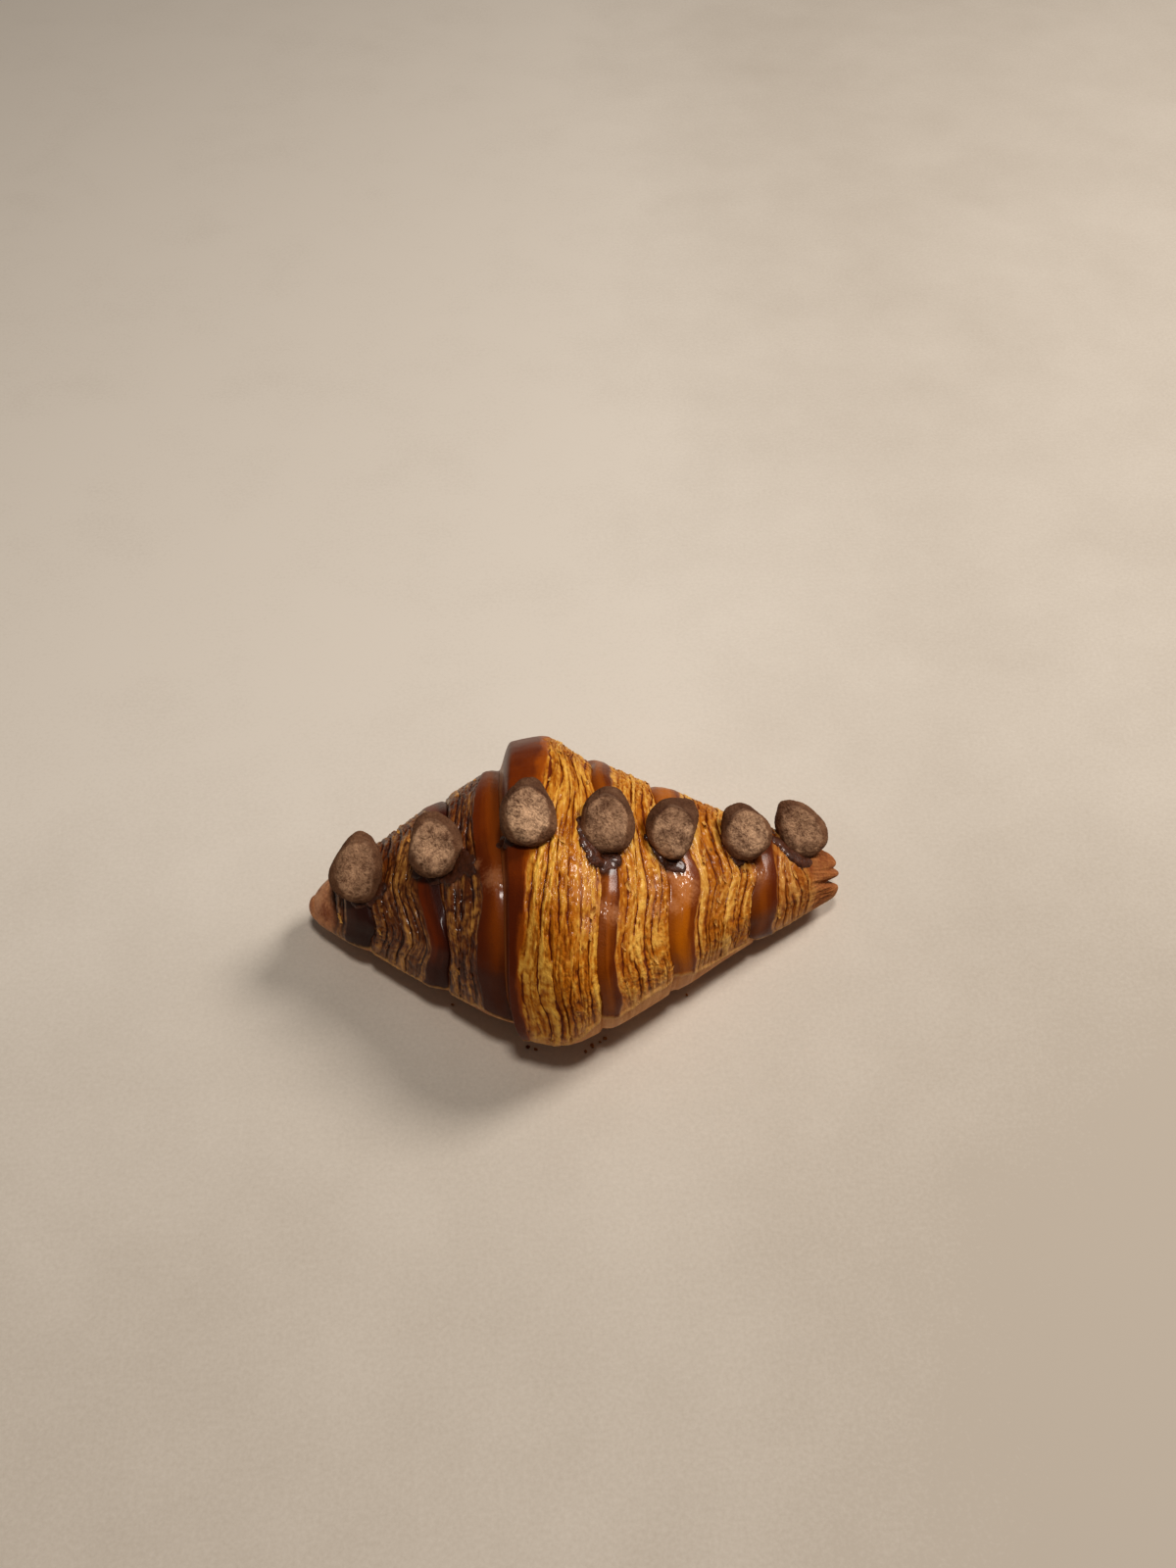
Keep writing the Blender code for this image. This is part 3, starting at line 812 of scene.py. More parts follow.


# %% The layers: pale crests, honey flanks, toasted valleys and dark gaps, with painted shade in valleys and gaps
def layer_colour(dough, look):
    bench, patch, shade = dough.bench, dough.patch, look.shade
    broad = bench.grain(bench.vector(dough.along, dough.girth * 0.10, 3.0), 2.6, 2.0, 0.5, 27.0)
    # Colour follows the relief: the valleys and gaps are painted darker as shade, over the dough's own tones.
    pale = (dough.crest - 0.5) * (1 - shade) + patch * (0.55 - shade) + (dough.tone - 0.5) * 0.45
    pale = pale + broad * 0.35 + dough.streak * 0.9 + dough.cloud * 0.2 - shade * 0.6
    layer = blend(bench, pale.ramp(-0.45, 0.60), look.honey, look.ridge)
    # The valleys: the dough's toasted brown, deepened with painted shade.
    toasted = blend(bench, 0.5, look.honey, look.crevice)
    toast_and_shade = dough.fine_line * 0.8 + dough.dark_line * 0.9 + dough.fleck * 0.25 - pale * 0.55 + shade * 0.5
    layer = blend(bench, toast_and_shade.ramp(0.10, 0.80), layer, toasted)
    # The narrow gaps between the strands are painted dark, as shade.
    gap = dough.dark_line * 1.1 + dough.fine_line * 0.5 + dough.fleck * 0.10 + shade * 0.4 - pale * 0.30
    layer = blend(bench, gap.ramp(0.28, 0.72), layer, look.crevice)
    # Painted shade in the pits.
    layer = blend(bench, dough.pits * 0.30, layer, toasted)
    # Near the tray the dough stays paler
    steamed = (dough.below_foot + patch * 3 + 7).ramp(0.0, 8.0) * (0.5 - shade)
    return blend(bench, steamed, layer, BAKED.steamed)


# %% The tips and the underside
def tip_colour(dough):
    bench, cloud, fleck = dough.bench, dough.cloud, dough.fleck
    tip = blend(bench, cloud + fleck * 0.5 + 0.5, BAKED.tip_dark, BAKED.tip_pale)
    # Painted shade in the grooves of the gathered folds.
    tip = blend(bench, dough.gathered_fold * 0.5, tip, BAKED.tip_fold)
    knob = blend(bench, cloud * 1.8 + fleck * 0.7 + 0.5, BAKED.knob_dark, BAKED.knob_pale)
    return blend(bench, dough.knob, tip, knob)


def crust_colour(dough, look):
    bench = dough.bench
    colour = blend(bench, dough.cut, skin_colour(dough, look), layer_colour(dough, look))
    # Blistered glaze is paler, and it is painted paler and pinker still as the sheen on it.
    blister_and_sheen = (dough.blister + dough.fleck * 0.6 - 0.2).ramp(0.0, 0.9)
    colour = blend(bench, blister_and_sheen * 0.45, colour, BAKED.blister)
    colour = blend(bench, dough.knob * 0.9 + dough.point * 0.85, colour, tip_colour(dough))
    underneath = blend(bench, dough.cloud + dough.streak * 0.6 + 0.5, BAKED.under_dark, BAKED.under_pale)
    colour = blend(bench, dough.base * 0.95, colour, underneath)
    colour = blend(bench, dough.rim * 0.7, colour, BAKED.rim)
    # Chocolate soaked into the crust, and painted shade under the nuggets.
    return blend(bench, dough.soaked * 0.85, colour, BAKED.soaked)


# %% The whole crust
def crust_finish(name, look):
    material, bench, shader, place = finish_named(name)
    dough = Dough(bench, painted, ON_RINGS + ON_LAYERS + ("stain",))
    dough.z = bench.parts(place)[2]
    dough.cloud = bench.grain(place, 9.0, 3.0, 0.6, 2.0)
    dough.streak = dough.grain(0.08, 1.3, 3.0, 0.6, 7.0)
    dough.patch = dough.grain(0.40, 4.5, 3.0, 0.6, 17.0)
    dough.fleck = bench.grain(place, 0.9, 3.0, 0.65, 6.0)
    dough.pits = dough.grain(0.7, 0.75, 2.0, 0.6, 37.0).ramp(0.15, 0.55)
    # Where chocolate soaked in, and where shade is painted under the nuggets.
    dough.soaked = (dough.stain + dough.fleck * 0.15 + dough.streak * 0.2).ramp(0.35, 0.9)
    colour = crust_colour(dough, look)
    rough = 0.40 + dough.cut * 0.16 + dough.fleck * 0.12
    # The glaze is thin on the skins, thicker where it pooled, and missing underneath and at the tips
    wet = 0.22 + dough.cut * (look.shade * 1.2 - 0.04) + dough.cloud * 0.2 + dough.patch * 0.3
    wet = wet + dough.blister * 0.7 + dough.soaked * 0.4 - (dough.base + dough.knob + dough.point) * 0.3
    pitted = bench.grain(place, 0.5, 3.0, 0.6, 8.0) * 0.4 + dough.cloud * 0.3
    wrinkled = dough.grain(0.5, 0.45, 3.0, 0.6, 8.0) - dough.pits * 0.6
    relief = pitted + (wrinkled - pitted) * dough.cut
    dress(bench, shader, Base_Color=colour, Roughness=rough, Coat_Weight=wet.at_least(0.0),
          Coat_Roughness=0.16, Specular_IOR_Level=0.10, Normal=bumps(bench, 0.6, 0.00030, relief))
    return material


# %% Each ring's own look
# Its display colours, how far in from its edge the skin changes colour (mm), the height below which painted
# shade darkens the skin (mm), how much darker its layers are, and how wide they are (mm). The darker skin
# colour is painted shade low down and in the crease under the next ring, and also the skin's own mottling;
# the crevice colour is the dough's toasted brown and painted shade in the gaps.
LOOKS = {
    "turn_1": dict(
        skin_edge=(84, 44, 30), skin_end=(60, 30, 22), skin_low=(56, 30, 23),
        ridge=(186, 128, 72), honey=(108, 56, 22), crevice=(56, 24, 9),
        turns_at=3.0, low_from=30, shade=0.26, layer_width=2.0,
    ),
    "turn_2": dict(
        skin_edge=(112, 46, 10), skin_end=(68, 25, 10), skin_low=(60, 25, 17),
        ridge=(212, 154, 80), honey=(118, 60, 15), crevice=(58, 22, 6),
        turns_at=3.0, low_from=36, shade=0.30, layer_width=2.3,
    ),
    "turn_3": dict(
        skin_edge=(108, 44, 3), skin_end=(172, 88, 6), skin_low=(68, 26, 11),
        ridge=(212, 154, 76), honey=(112, 52, 9), crevice=(54, 19, 5),
        turns_at=4.0, low_from=47, shade=0.36, layer_width=2.3,
    ),
    "turn_4": dict(
        skin_edge=(156, 78, 5), skin_end=(132, 60, 6), skin_low=(90, 32, 3),
        ridge=(234, 182, 84), honey=(182, 108, 14), crevice=(106, 42, 6),
        turns_at=0.9, low_from=68, shade=0.05, layer_width=2.7,
    ),
    "turn_5": dict(
        skin_edge=(100, 42, 2), skin_end=(154, 82, 7), skin_low=(92, 38, 4),
        ridge=(228, 176, 86), honey=(182, 108, 17), crevice=(112, 48, 9),
        turns_at=2.0, low_from=30, shade=0.03, layer_width=2.5,
    ),
    "turn_6": dict(
        skin_edge=(116, 52, 3), skin_end=(172, 96, 6), skin_low=(112, 50, 5),
        ridge=(226, 174, 88), honey=(178, 106, 20), crevice=(112, 50, 12),
        turns_at=2.2, low_from=26, shade=0.03, layer_width=2.4,
    ),
    "turn_7": dict(
        skin_edge=(96, 38, 3), skin_end=(130, 66, 10), skin_low=(84, 36, 6),
        ridge=(208, 154, 84), honey=(160, 92, 26), crevice=(106, 48, 12),
        turns_at=2.6, low_from=24, shade=0.0, layer_width=2.1,
    ),
}
BEYOND = 99.0  # further in than any skin reaches, in millimetres
LIP_BAND = 0.45
SHADE_ON_LAST_EDGE, SHADE_ON_EDGE = 0.2, 0.85
SHADED_FROM = 0.1
SHADED_LAYERS, SUNNY_LAYERS = dict(fine_depth=0.28, sway=0.5), dict(fine_depth=0.50, sway=1.0)


def ring_look(name, ring):
    """A ring's look, with its colours ready for the shader and the measures of its skin."""
    look = SimpleNamespace(**LOOKS[name])
    for key in ("skin_edge", "skin_end", "skin_low", "ridge", "honey", "crevice"):
        setattr(look, key, display(*getattr(look, key)))
    last = "skin" in ring
    look.lip = ring["edge"] - ring["end"] - LIP_BAND if last else BEYOND
    look.low_edge = SHADE_ON_LAST_EDGE if last else SHADE_ON_EDGE
    look.skin_width = BEYOND if last else abs(ring["end"] - ring["edge"])
    return look


# %% Bake the rings
crust = {}
for number, (name, ring) in enumerate(RINGS.items(), 1):
    look = ring_look(name, ring)
    sizes = SHADED_LAYERS if look.shade > SHADED_FROM else SUNNY_LAYERS
    finish = crust_finish("crust_" + name, look)
    choices = dict(seed=float(number), layer_width=look.layer_width, material=finish)
    crust[name] = grow(name, ring_mesh(name, ring), open_layers, **choices, **sizes)
    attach(crust[name], "root")
    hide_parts("croissant")
    print(name, len(crust[name].data.vertices), "points")

# %% [markdown]
# ## The nuggets
#
# Each nugget is a lump of chocolate with one flattened face. It could be sculpted from a ball, but a rule
# keeps all seven alike and lets each have its own size. The lump is a squarish round with a narrow end, as in
# the packed solid. Its face is cut off softly by a plane, which leaves the bevel that catches less light.

# %% The nuggets' places and sizes, in millimetres and degrees
# How each leans back and spins, its width and height, where its narrow end points and how narrow it is, where
# the bare brow over its face lies, how dusty the face is, and how dark the brow is, in its cocoa and painted
# shade.
NUGGETS = (
    dict(lean=36, spin=9, width=14.6, height=21.2, point=86, taper=0.36, brow=80, dust=0.4, cap=0.4),
    dict(lean=32, spin=4, width=14.8, height=19.2, point=110, taper=0.18, brow=80, dust=0.62, cap=0.6),
    dict(lean=30, spin=-4, width=15.2, height=19.0, point=78, taper=0.28, brow=80, dust=1.0, cap=1.0),
    dict(lean=30, spin=5, width=15.2, height=19.2, point=85, taper=0.24, brow=75, dust=0.48, cap=0.9),
    dict(lean=32, spin=16, width=14.4, height=18.4, point=-64, taper=0.34, brow=100, dust=0.62, cap=1.0),
    dict(lean=28, spin=-14, width=14.4, height=16.8, point=95, taper=0.20, brow=105, dust=0.72, cap=0.9),
    dict(lean=30, spin=-28, width=14.2, height=18.8, point=95, taper=0.34, brow=60, dust=0.46, cap=0.5),
)
NUGGET_THICKNESS = 11.8
NUGGET_LUMPS, NUGGET_FACE, NUGGET_BEVEL, NUGGET_SQUARENESS = 0.08, 0.62, 0.36, 2.15
FACE_HEIGHT, FACE_SHARE, FACE_DROP, FACE_FALL = 4.9, 0.79, 1.4, 0.8
FACE_WOBBLE, FACE_UNEVENNESS, FACE_SOFTNESS = 0.12, 0.35, 0.16
DUST_END, DUST_FADE = 1.06, 0.16
EDGE_MIDDLE, EDGE_WIDTH = 1.04, 0.035
BROW_START, BROW_FADE, BROW_MIDDLE, BROW_WIDTH = 0.92, 0.12, 1.02, 0.07
ROWS_DOWN, ROWS_AROUND = 100, 170
print("nuggets are", min(n["height"] for n in NUGGETS), "to", max(n["height"] for n in NUGGETS), "mm tall")


# %% Where things stand
def ring_height_at(u):
    """The rings' height at one place along the dough."""
    for ring in RINGS.values():
        low, high = sorted((ring["foot"], ring["end"]))
        if low <= u <= high:
            return float(ring_height(ring, np.array([u]))[0])
    return 0.0


def set_in_place(number, nugget, lump, shape):
    """Turns a shape as its nugget lies, and moves it so that the whole lump fills the packed nugget's box."""
    lean = Matrix.Rotation(math.radians(nugget["lean"]), 3, "X")
    turned = np.array(lean @ Matrix.Rotation(math.radians(-nugget["spin"]), 3, "Z")).T
    lump = (lump @ turned).reshape(-1, 3)
    low, high = (np.array(corner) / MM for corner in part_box(f"nugget_{number}"))
    return shape @ turned + (low + high - lump.min(0) - lump.max(0)) / 2


# %% A nugget's lump
def nugget_lump(nugget, seed):
    """Rows of points from the middle of the face to the middle of the back, before the lump is turned."""
    rows, columns = int(ROWS_DOWN / fine), int(ROWS_AROUND / fine)
    down = np.linspace(0, math.pi, rows + 2)[1:-1, None]
    around = np.linspace(0, 2 * math.pi, columns, endpoint=False)[None, :]
    x, y, z = np.broadcast_arrays(np.sin(down) * np.cos(around), np.sin(down) * np.sin(around), np.cos(down))
    lump = 1 + NUGGET_LUMPS * stir(1.6 * x + 5 * seed, 1.6 * y, 1.6 * z)
    flat = np.sign(z) * np.abs(z) ** NUGGET_FACE
    roundness = sum(np.abs(c) ** NUGGET_SQUARENESS for c in (x, y, z)) ** (1 / NUGGET_SQUARENESS)
    plump = (1 - NUGGET_BEVEL * np.abs(z) ** 3) / roundness
    point = math.radians(nugget["point"])
    ahead = x * math.cos(point) + y * math.sin(point)
    beside = (y * math.cos(point) - x * math.sin(point)) * (1 - nugget["taper"] * ahead)
    x = (ahead * math.cos(point) - beside * math.sin(point)) * plump * lump * nugget["width"] / 2
    y = (ahead * math.sin(point) + beside * math.cos(point)) * plump * lump * nugget["height"] / 2
    return x, y, flat * lump * NUGGET_THICKNESS / 2


# %% Its face, flat inside an oval set low on the lump, and falling away round it
def soft_min(a, b, softness):
    return 0.5 * (a + b - np.sqrt((a - b) ** 2 + (2 * softness) ** 2))


def nugget_face(nugget, seed, x, y):
    """How high the face lies at each point, and how strongly cocoa, brow and worn edge show there."""
    brow = math.radians(nugget["brow"])
    half_width, half_height = nugget["width"] / 2, nugget["height"] / 2
    wobble = 1 + FACE_WOBBLE * stir(0.16 * x + 9 * seed, 0.16 * y, 0 * x)
    from_middle = wobble * np.hypot(
        (x + FACE_DROP * math.cos(brow)) / (FACE_SHARE * half_width),
        (y + FACE_DROP * math.sin(brow)) / (FACE_SHARE * half_height),
    )
    height = FACE_HEIGHT + FACE_UNEVENNESS * stir(0.22 * x + 3 * seed, 0.22 * y, 0 * x)
    height = height - FACE_FALL * np.maximum(0, from_middle - 1) * half_width
    towards_brow = (x * math.cos(brow) + y * math.sin(brow)) / half_height
    frayed = from_middle + 0.10 * stir(0.35 * x + 5 * seed, 0.35 * y, 0 * x) + 0.05 * stir(x, y, 0 * x + seed)
    under_light = 1.06 - 0.5 * nugget["cap"] * smooth(0.3 + towards_brow)
    # The brow: its own darker cocoa, with painted shade over it and a painted shadow line just above the
    # face.
    outside = smooth((from_middle - BROW_START) / BROW_FADE)
    outside = outside * (0.6 + 0.4 * hump(from_middle, BROW_MIDDLE, BROW_WIDTH))
    worn = np.clip(0.5 + 2 * stir(0.3 * x, 0.3 * y, 0 * x), 0, 1)
    return height, {
        "face": nugget["dust"] * smooth((DUST_END - frayed) / DUST_FADE) * under_light,
        "under_brow": nugget["cap"] * outside * smooth(towards_brow * 2.2),
        "face_edge": hump(from_middle, EDGE_MIDDLE, EDGE_WIDTH) * worn,
    }


def nugget_mesh(name, nugget, seed):
    x, y, z = nugget_lump(nugget, seed)
    face, shown = nugget_face(nugget, seed, x, y)
    faced = np.stack((x, y, soft_min(z, face, FACE_SOFTNESS)), -1)
    points = set_in_place(seed, nugget, np.stack((x, y, z), -1), faced)
    attributes = {key: values[::-1] for key, values in shown.items()}
    return tube_mesh(name, points[::-1], attributes, points[-1].mean(0), points[0].mean(0))


# %% [markdown]
# ## The cocoa
#
# The nuggets were rolled in cocoa, which lies on them as a dry, wrinkled skin and is palest on the flat face.
# Dust could be thousands of grains, but they would show as nothing more than roughness. So a tree raises
# curled wrinkles and fine grains on the lump, and the finish dusts what stands up.


# %% The tree that rolls a nugget in cocoa
def cocoa_tree():
    inputs = {
        "Wrinkle Size": 1.5,
        "Wrinkle Depth": 0.17,
        "Grain Size": 0.5,
        "Grain Depth": 0.05,
        "Seed": 1.0,
        "Material": None,
    }
    bench, given = new_geometry_tree("Roll in cocoa", inputs)
    place = bench.scaled(bench.add("GeometryNodeInputPosition"), 1 / MM)
    place = bench.shifted(place, bench.vector(given["Seed"] * 11, given["Seed"] * 5, 0.0))
    curled = bench.curled(place, 0.40, 5.0, detail=1.0)
    wrinkle = bench.grain(bench.scaled(curled, 1 / given["Wrinkle Size"]), 1.0, 2.0, 0.55)
    ridged = (1 - wrinkle.math("ABSOLUTE") * 3.6).at_least(0.0)
    grains = bench.grain(bench.scaled(place, 1 / given["Grain Size"]), 1.0, 2.0, 0.6)
    height = ridged * given["Wrinkle Depth"] + grains * given["Grain Depth"] - 0.18
    moved = moved_out(bench, given["Geometry"], bench.add("GeometryNodeInputNormal"), height)
    moved = store(bench, moved, "wrinkle", ridged)
    result(bench, moved, given["Material"])
    return bench.tree


roll_in_cocoa = cocoa_tree()
print(roll_in_cocoa.name, "has", len(roll_in_cocoa.nodes), "nodes")

# %% The cocoa's finish
COCOA = palette(
    dark=(86, 54, 35), pale=(134, 95, 67), face_dark=(88, 60, 42), face_pale=(220, 178, 142),
    scratch=(60, 40, 28), brow=(66, 37, 21), edge=(172, 136, 108),
)


def cocoa_finish():
    material, bench, shader, place = finish_named("cocoa_dust")
    stored = ("face", "wrinkle", "under_brow", "face_edge")
    face, wrinkle, brow, edge = (painted(bench, name) for name in stored)
    cloud = bench.grain(place, 4.0, 3.0, 0.6, 2.0)
    mottle = bench.grain(place, 1.8, 3.0, 0.6, 5.0)
    speck = bench.grain(place, 0.6, 3.0, 0.7, 3.0)
    curled = bench.curled(place, 0.5, 4.0)
    scratch = (1 - bench.grain(curled, 1.5, 2.0, 0.6, 6.0).math("ABSOLUTE") * 9).at_least(0.0)
    powder = blend(bench, speck * 0.5 + cloud * 0.6 + wrinkle * 0.25 + 0.4, COCOA.dark, COCOA.pale)
    powder = blend(bench, scratch * 0.25, powder, COCOA.scratch)
    shown = wrinkle * 0.45 + mottle * 0.5 + speck * 0.3 + cloud * 1.2 + 0.36 - scratch * 0.36
    dusted = blend(bench, shown.ramp(-0.3, 1.25), COCOA.face_dark, COCOA.face_pale)
    colour = blend(bench, face * 0.95 + cloud * 0.2, powder, dusted)
    # The brow's darker cocoa and painted shade.
    colour = blend(bench, brow * 0.85, colour, COCOA.brow)
    colour = blend(bench, edge * 0.4, colour, COCOA.edge)
    dress(bench, shader, Base_Color=colour, Roughness=0.85 - wrinkle * 0.1, Specular_IOR_Level=0.25,
          Normal=bumps(bench, 0.7, 0.00022, speck * 0.8 - scratch * 0.25))
    return material


# %% Roll the nuggets
cocoa = cocoa_finish()
nuggets = []
for number, nugget in enumerate(NUGGETS, 1):
    name = f"nugget_{number}_cocoa"
    piece = grow(name, nugget_mesh(name, nugget, number), roll_in_cocoa, seed=float(number), material=cocoa)
    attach(piece, "root")
    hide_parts(f"nugget_{number}")
    nuggets.append(piece)
print(len(nuggets), "nuggets,", len(nuggets[0].data.vertices), "points each")

# %% [markdown]
# ## The chocolate
#
# The nuggets were pushed on while their undersides were soft, so chocolate squeezed out round them and set in
# glossy dabs. Balls placed one by one would still look like balls. Here many small ones, sunk in the crust,
# run together as a volume, which is skinned again and smoothed.


# %% The tree that runs drops together
def melt_tree():
    inputs = {"Fineness": 0.30, "Lump Size": 1.5, "Lump Depth": 0.12, "Material": None}
    bench, given = new_geometry_tree("Run together", inputs)
    reach = attribute(bench, "reach")
    drops = bench.add("GeometryNodeMeshToPoints", None, {"Mesh": given["Geometry"], "Radius": reach * MM})
    sockets = {"Points": drops, "Voxel Size": given["Fineness"] * MM, "Radius": reach * MM}
    volume = bench.add("GeometryNodePointsToVolume", {"resolution_mode": "VOXEL_SIZE"}, sockets)
    sockets = {"Volume": volume, "Threshold": 0.1, "Adaptivity": 0.0}
    skin = bench.add("GeometryNodeVolumeToMesh", None, sockets)
    blur = {"Value": bench.add("GeometryNodeInputPosition"), "Iterations": 8, "Weight": 1.0}
    level = bench.add("GeometryNodeBlurAttribute", {"data_type": "FLOAT_VECTOR"}, blur)
    skin = bench.add("GeometryNodeSetPosition", None, {"Geometry": skin, "Position": level})
    place = bench.scaled(bench.add("GeometryNodeInputPosition"), 1 / MM)
    lumps = bench.grain(bench.scaled(place, 1 / given["Lump Size"]), 1.0, 2.0, 0.5) * given["Lump Depth"]
    moved = moved_out(bench, skin, bench.add("GeometryNodeInputNormal"), lumps)
    smoothed = bench.add("GeometryNodeSetShadeSmooth", None, {"Geometry": moved})
    result(bench, smoothed, given["Material"])
    return bench.tree


run_together = melt_tree()
print(run_together.name, "has", len(run_together.nodes), "nodes")

# %% The drops of each dab
DROPS_EACH, DROPS_SEED = 20, 5
DROP_SIZES, DROP_LIFT, DROP_SUNK = (0.60, 0.92), 0.25, 0.80


def on_crust(u, turn, height=0.0):
    """A point on the rings in millimetres, and the way out of the crust there."""
    points, outward, _ = roll(np.array([[u]]), np.array([[turn]]), ring_height_at(u) + height)
    return points[0, 0] + SHIFT, outward[0, 0]


def points_mesh(name, places, **attributes):
    """Single points, given in millimetres, with a number or a vector stored on each."""
    mesh = bpy.data.meshes.new(name)
    mesh.from_pydata((np.array(places) * MM).tolist(), [], [])
    store_on_points(mesh, attributes)
    return mesh


def drops_mesh(dabs):
    """Each dab as a scatter of drops, sunk in the crust, with the reach of each drop."""
    rng = np.random.default_rng(DROPS_SEED)
    places, sizes = [], []
    for u, degrees, reach in dabs:
        girth = float(half_depth(np.array(u)))
        for off, way in zip(reach * np.sqrt(rng.random(DROPS_EACH)), rng.random(DROPS_EACH) * 2 * math.pi):
            size = reach * rng.uniform(*DROP_SIZES)
            turn = math.radians(degrees) + off * math.sin(way) / girth
            point, outward = on_crust(u + off * math.cos(way), turn, DROP_LIFT)
            places.append(point - outward * DROP_SUNK * size)
            sizes.append(size)
    return points_mesh("drops", places, reach=sizes)


# %% The chocolate's finish
SET = palette(dark=(52, 23, 9), pale=(102, 54, 27))


def chocolate_finish():
    material, bench, shader, place = finish_named("set_chocolate")
    cloud = bench.grain(place, 2.5, 3.0, 0.6, 4.0)
    speck = bench.grain(place, 0.7, 2.0, 0.6, 9.0)
    colour = blend(bench, cloud + speck * 0.5 + 0.4, SET.dark, SET.pale)
    dress(bench, shader, Base_Color=colour, Roughness=0.48 + speck * 0.2, Coat_Weight=0.35,
          Coat_Roughness=0.12, Specular_IOR_Level=0.3, Normal=bumps(bench, 0.5, 0.0003, speck))
    return material


# %% Let the chocolate set
FINENESS = 0.30 * fine
drops, shine = drops_mesh(CHOCOLATE), chocolate_finish()
chocolate = grow("chocolate", drops, run_together, fineness=FINENESS, material=shine)
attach(chocolate, "root")
print("chocolate:", len(chocolate.data.vertices), "points")

# %% [markdown]
# ## Flakes and crumbs
#
# The outermost sheets break as the roll cools, so small curled flakes stand up from the cut layers, and
# crumbs gather at its foot. Each could be drawn by hand, but they differ only in size and turn. So one thin
# bent chip, strewn with its own size and turn at each place, makes all the flakes, and a thicker one the
# crumbs.


# %% The tree that strews chips
def strew_tree():
    inputs = {"Width": 0.55, "Thickness": 0.035, "Curl": 0.35, "Crumple": 0.30, "Material": None}
    bench, given = new_geometry_tree("Strew chips", inputs)
    size = bench.vector(1.0, given["Width"], given["Thickness"])
    cells = {"Size": size, "Vertices X": 6, "Vertices Y": 5, "Vertices Z": 2}
    chip = bench.add("GeometryNodeMeshCube", None, cells)
    place = bench.add("GeometryNodeInputPosition")
    x, y, _ = bench.parts(place)
    bend = x * x * given["Curl"]
    crumple = bench.grain(place, 0.35, 1.0, 0.5, 7.0) * given["Crumple"]
    trimmed = bench.vector(crumple, crumple * 0.8 - x.math("ABSOLUTE") * y * 1.3, bend + crumple * 0.6)
    chip = bench.add("GeometryNodeSetPosition", None, {"Geometry": chip, "Offset": trimmed})
    rotation = bench.add("FunctionNodeEulerToRotation", None, (attribute(bench, "turned", "FLOAT_VECTOR"),))
    sockets = {"Points": given["Geometry"], "Instance": chip, "Rotation": rotation}
    sockets["Scale"] = attribute(bench, "size") * MM
    strewn = bench.add("GeometryNodeInstanceOnPoints", None, sockets)
    result(bench, strewn, given["Material"])
    return bench.tree


def flakes_finish(name, pale, dark):
    material, bench, shader, place = finish_named(name)
    patch = bench.grain(place, 3.0, 3.0, 0.6, 4.0)
    fleck = bench.grain(place, 0.5, 2.0, 0.6, 9.0)
    colour = blend(bench, (patch + fleck * 0.4).ramp(-0.4, 0.4), display(*dark), display(*pale))
    dress(bench, shader, Base_Color=colour, Roughness=0.55 + fleck * 0.1, Specular_IOR_Level=0.3,
          Normal=bumps(bench, 0.4, 0.0001, fleck))
    return material


strew_chips = strew_tree()
print(strew_chips.name, "has", len(strew_chips.nodes), "nodes")

# %% Where flakes stand up
FLAKES = {"turn_1": 1, "turn_2": 4, "turn_3": 4, "turn_4": 26, "turn_5": 24, "turn_6": 22, "turn_7": 10}
FLAKE_SIZES, FLAKE_LIFT = (1.2, 3.4), 0.10
FLAKE_SPIN, FLAKE_TIP = 0.25, 0.3
FLAKES_WITHIN, LOWEST_SLOPE, FLAKES_SEED = 70, -0.2, 11


def read_points(data, name, width):
    """One value, or a row of three, for each point of a mesh."""
    values = np.zeros(len(data) * width)
    data.foreach_get(name, values)
    return values.reshape(-1, 3) if width == 3 else values


def flake_places(mesh):
    """The mesh's points in millimetres, their normals, and which of them lie on open layers."""
    cut, base = (read_points(mesh.attributes[key].data, "value", 1) for key in ("cut", "base"))
    at, normals = read_points(mesh.vertices, "co", 3) / MM, read_points(mesh.vertices, "normal", 3)
    on_layers = (cut > 0.9) & (base < 0.1)
    fit = on_layers & (normals[:, 2] > LOWEST_SLOPE) & (np.abs(at[:, 0]) < FLAKES_WITHIN)
    return at, normals, np.flatnonzero(fit)


rng = np.random.default_rng(FLAKES_SEED)
places, turns = [], []
for name, count in FLAKES.items():
    at, normals, fit = flake_places(crust[name].data)
    for i in rng.choice(fit, count, replace=False):
        outward = Vector(normals[i])
        round_roll = outward.cross((1, 0, 0)).normalized()
        flat = Matrix((round_roll, outward.cross(round_roll), outward)).transposed()
        spun = Matrix.Rotation(rng.normal(0, FLAKE_SPIN), 3, "Z")
        tipped = Matrix.Rotation(rng.uniform(-FLAKE_TIP, FLAKE_TIP), 3, "Y")
        places.append(at[i] + normals[i] * FLAKE_LIFT)
        turns.append((flat @ (spun @ tipped)).to_euler())
flakes_at = points_mesh("flakes_at", places, size=rng.uniform(*FLAKE_SIZES, len(places)), turned=turns)
baked = flakes_finish("flaked_dough", (216, 164, 84), (150, 84, 20))
flakes = grow("flakes", flakes_at, strew_chips, material=baked)
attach(flakes, "root")
print(len(places), "flakes")

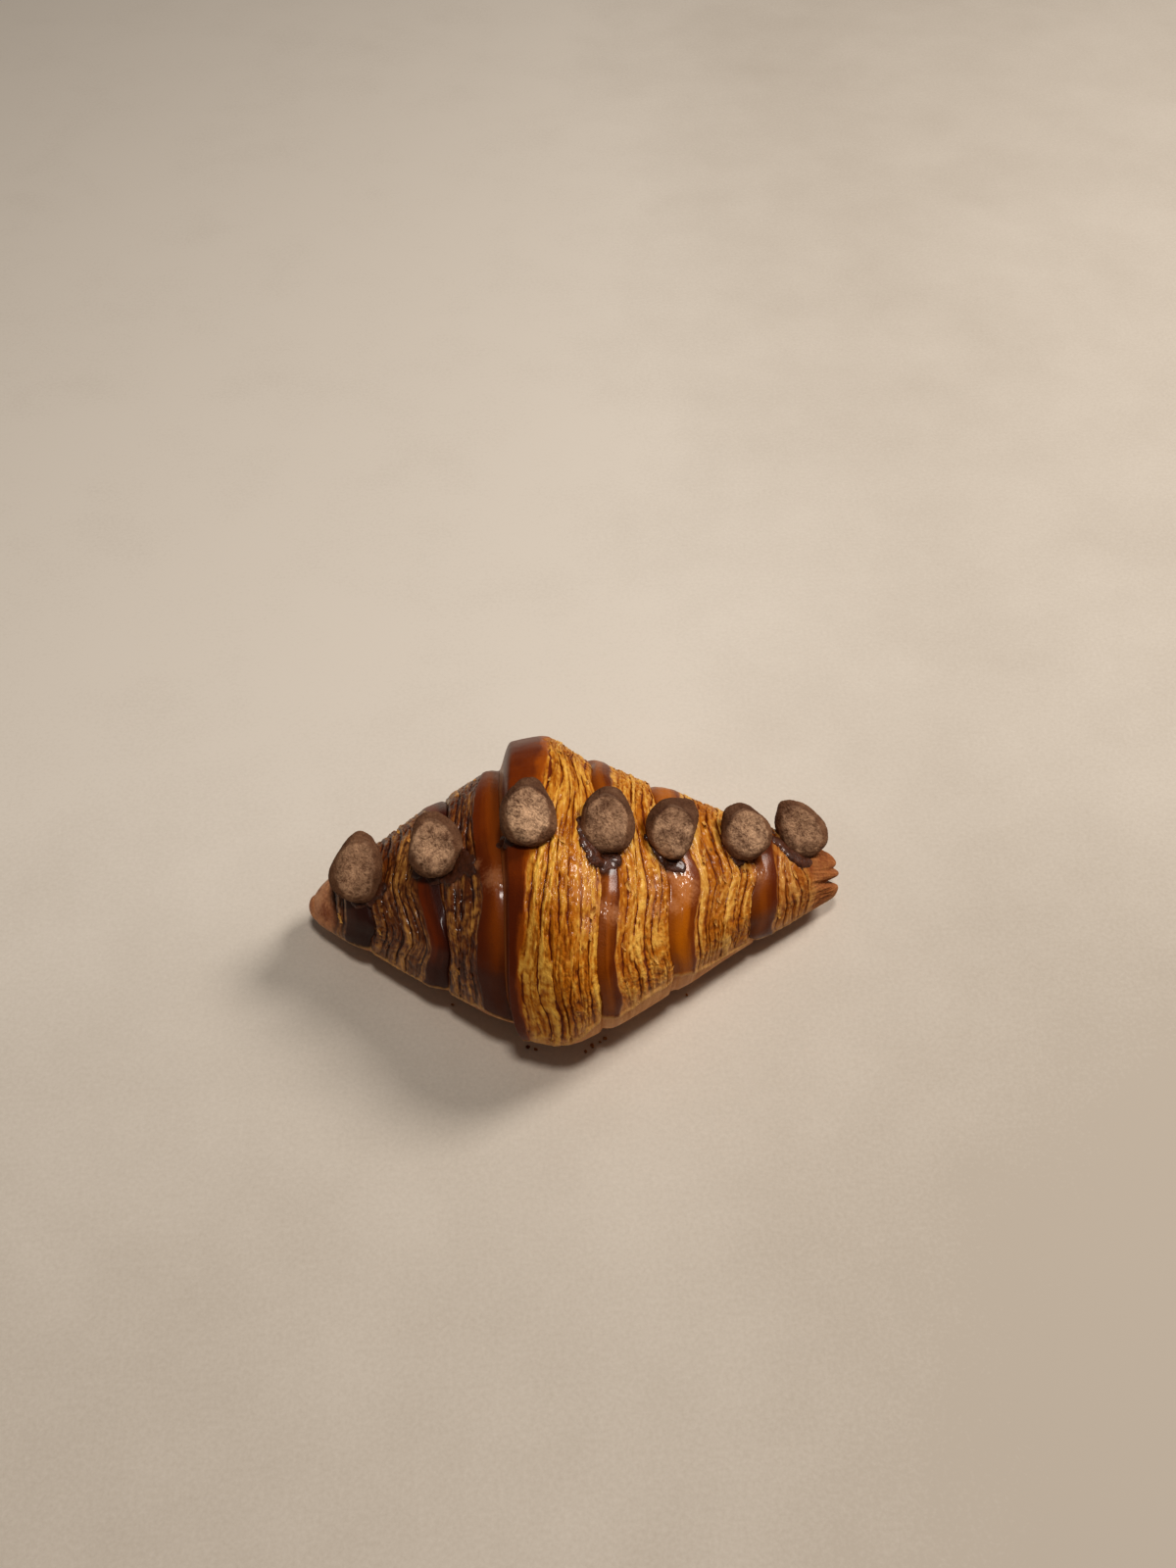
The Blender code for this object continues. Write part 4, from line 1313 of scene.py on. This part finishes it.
# %% Crumbs at the foot
CRUMBS = ((-19.0, 2), (-14.0, 1), (1.5, 4), (5.0, 2), (-38.0, 1), (31.0, 1))
CRUMB_SIZES, CRUMB_HEIGHT, CRUMB_STRAY, CRUMB_OFF = (0.7, 1.3), 0.38, (-1.5, 1.5), (1.5, 3.5)
FOOT_DEGREES = 118
places, turns = [], []
for u, count in CRUMBS:
    for _ in range(count):
        foot, _ = on_crust(u + rng.uniform(*CRUMB_STRAY), math.radians(FOOT_DEGREES))
        places.append((foot[0], foot[1] + rng.uniform(*CRUMB_OFF), CRUMB_HEIGHT))
        turns.append(rng.uniform(0, 2 * math.pi, 3) * (0.1, 0.1, 1.0))
crumbs_at = points_mesh("crumbs_at", places, size=rng.uniform(*CRUMB_SIZES, len(places)), turned=turns)
toasted = flakes_finish("crumbs", (176, 118, 58), (92, 44, 16))
crumbs = grow("crumbs", crumbs_at, strew_chips, width=0.7, thickness=0.5, curl=0.1, material=toasted)
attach(crumbs, "root")
print(len(places), "crumbs")

# %% [markdown]
# ## Light and table
#
# A large soft light from behind on the right draws the long gleams on the glaze and drops the shadow to the
# front left. A small lamp above the front gives the glints, and a faint warm sky fills the shadows. One sun
# could light it all, but its shadows would be too hard. The table is a plain sheet with a little fibre in
# its colour, and painted shade that darkens it towards the front and the right. It is only the stage, and not
# part of the croissant.

# %% Lights
WARM_WHITE = (1.0, 0.97, 0.93)
SKY_STRENGTH = 0.12
LIGHTS = (
    dict(name="key", place=(0.75, 0.36, 0.95), size=0.42, power=9.0),
    dict(name="lamp", place=(0.02, -0.20, 0.95), size=0.16, power=3.4),
)
AIMED_AT = Vector((0, 0, 0.02))

world = bpy.data.worlds.new("studio")
bpy.context.scene.world = world
world.use_nodes = True
sky = world.node_tree.nodes["Background"]
sky.inputs["Color"].default_value = (*WARM_WHITE, 1)
sky.inputs["Strength"].default_value = SKY_STRENGTH


def soft_light(name, place, size, power):
    data = bpy.data.lights.new(name, "AREA")
    data.shape = "DISK"
    data.size = size
    data.energy = power
    data.color = WARM_WHITE
    light = bpy.data.objects.new(name, data)
    light.location = place
    light.rotation_euler = (AIMED_AT - Vector(place)).to_track_quat("-Z", "Y").to_euler()
    bpy.context.scene.collection.objects.link(light)


for light in LIGHTS:
    soft_light(**light)
print(len(LIGHTS), "lights")

# %% The table
TABLE_HALF = 3.0
TABLE = palette(dark=(186, 174, 160), pale=(214, 203, 190))


def table_finish():
    material, bench, shader, place = finish_named("table")
    fibre = bench.grain(place, 1.2, 4.0, 0.7, 3.0)
    stain = bench.grain(place, 40.0, 3.0, 0.6, 8.0)
    x, y, _ = bench.parts(place)
    # Painted shade: darker towards the front and towards the right; fibre and stains are the sheet's own.
    lit = y.ramp(-160.0, 120.0, 0.25, 1.0) - x.ramp(0.0, 160.0) * 0.5 + fibre * 0.40 + stain * 0.25
    colour = blend(bench, lit, TABLE.dark, TABLE.pale)
    dress(bench, shader, Base_Color=colour, Roughness=0.9, Specular_IOR_Level=0.2)
    return material


corners = [(TABLE_HALF * x, TABLE_HALF * y, 0) for x, y in ((-1, -1), (1, -1), (1, 1), (-1, 1))]
floor_mesh = bpy.data.meshes.new("table")
floor_mesh.from_pydata(corners, [], [(0, 1, 2, 3)])
floor_mesh.materials.append(table_finish())
floor = bpy.data.objects.new("table", floor_mesh)
bpy.context.scene.collection.objects.link(floor)
bpy.context.scene.view_settings.view_transform = "Standard"
bpy.context.scene.view_settings.look = "Medium High Contrast"
print("the table is", 2 * TABLE_HALF, "m wide")

# %% [markdown]
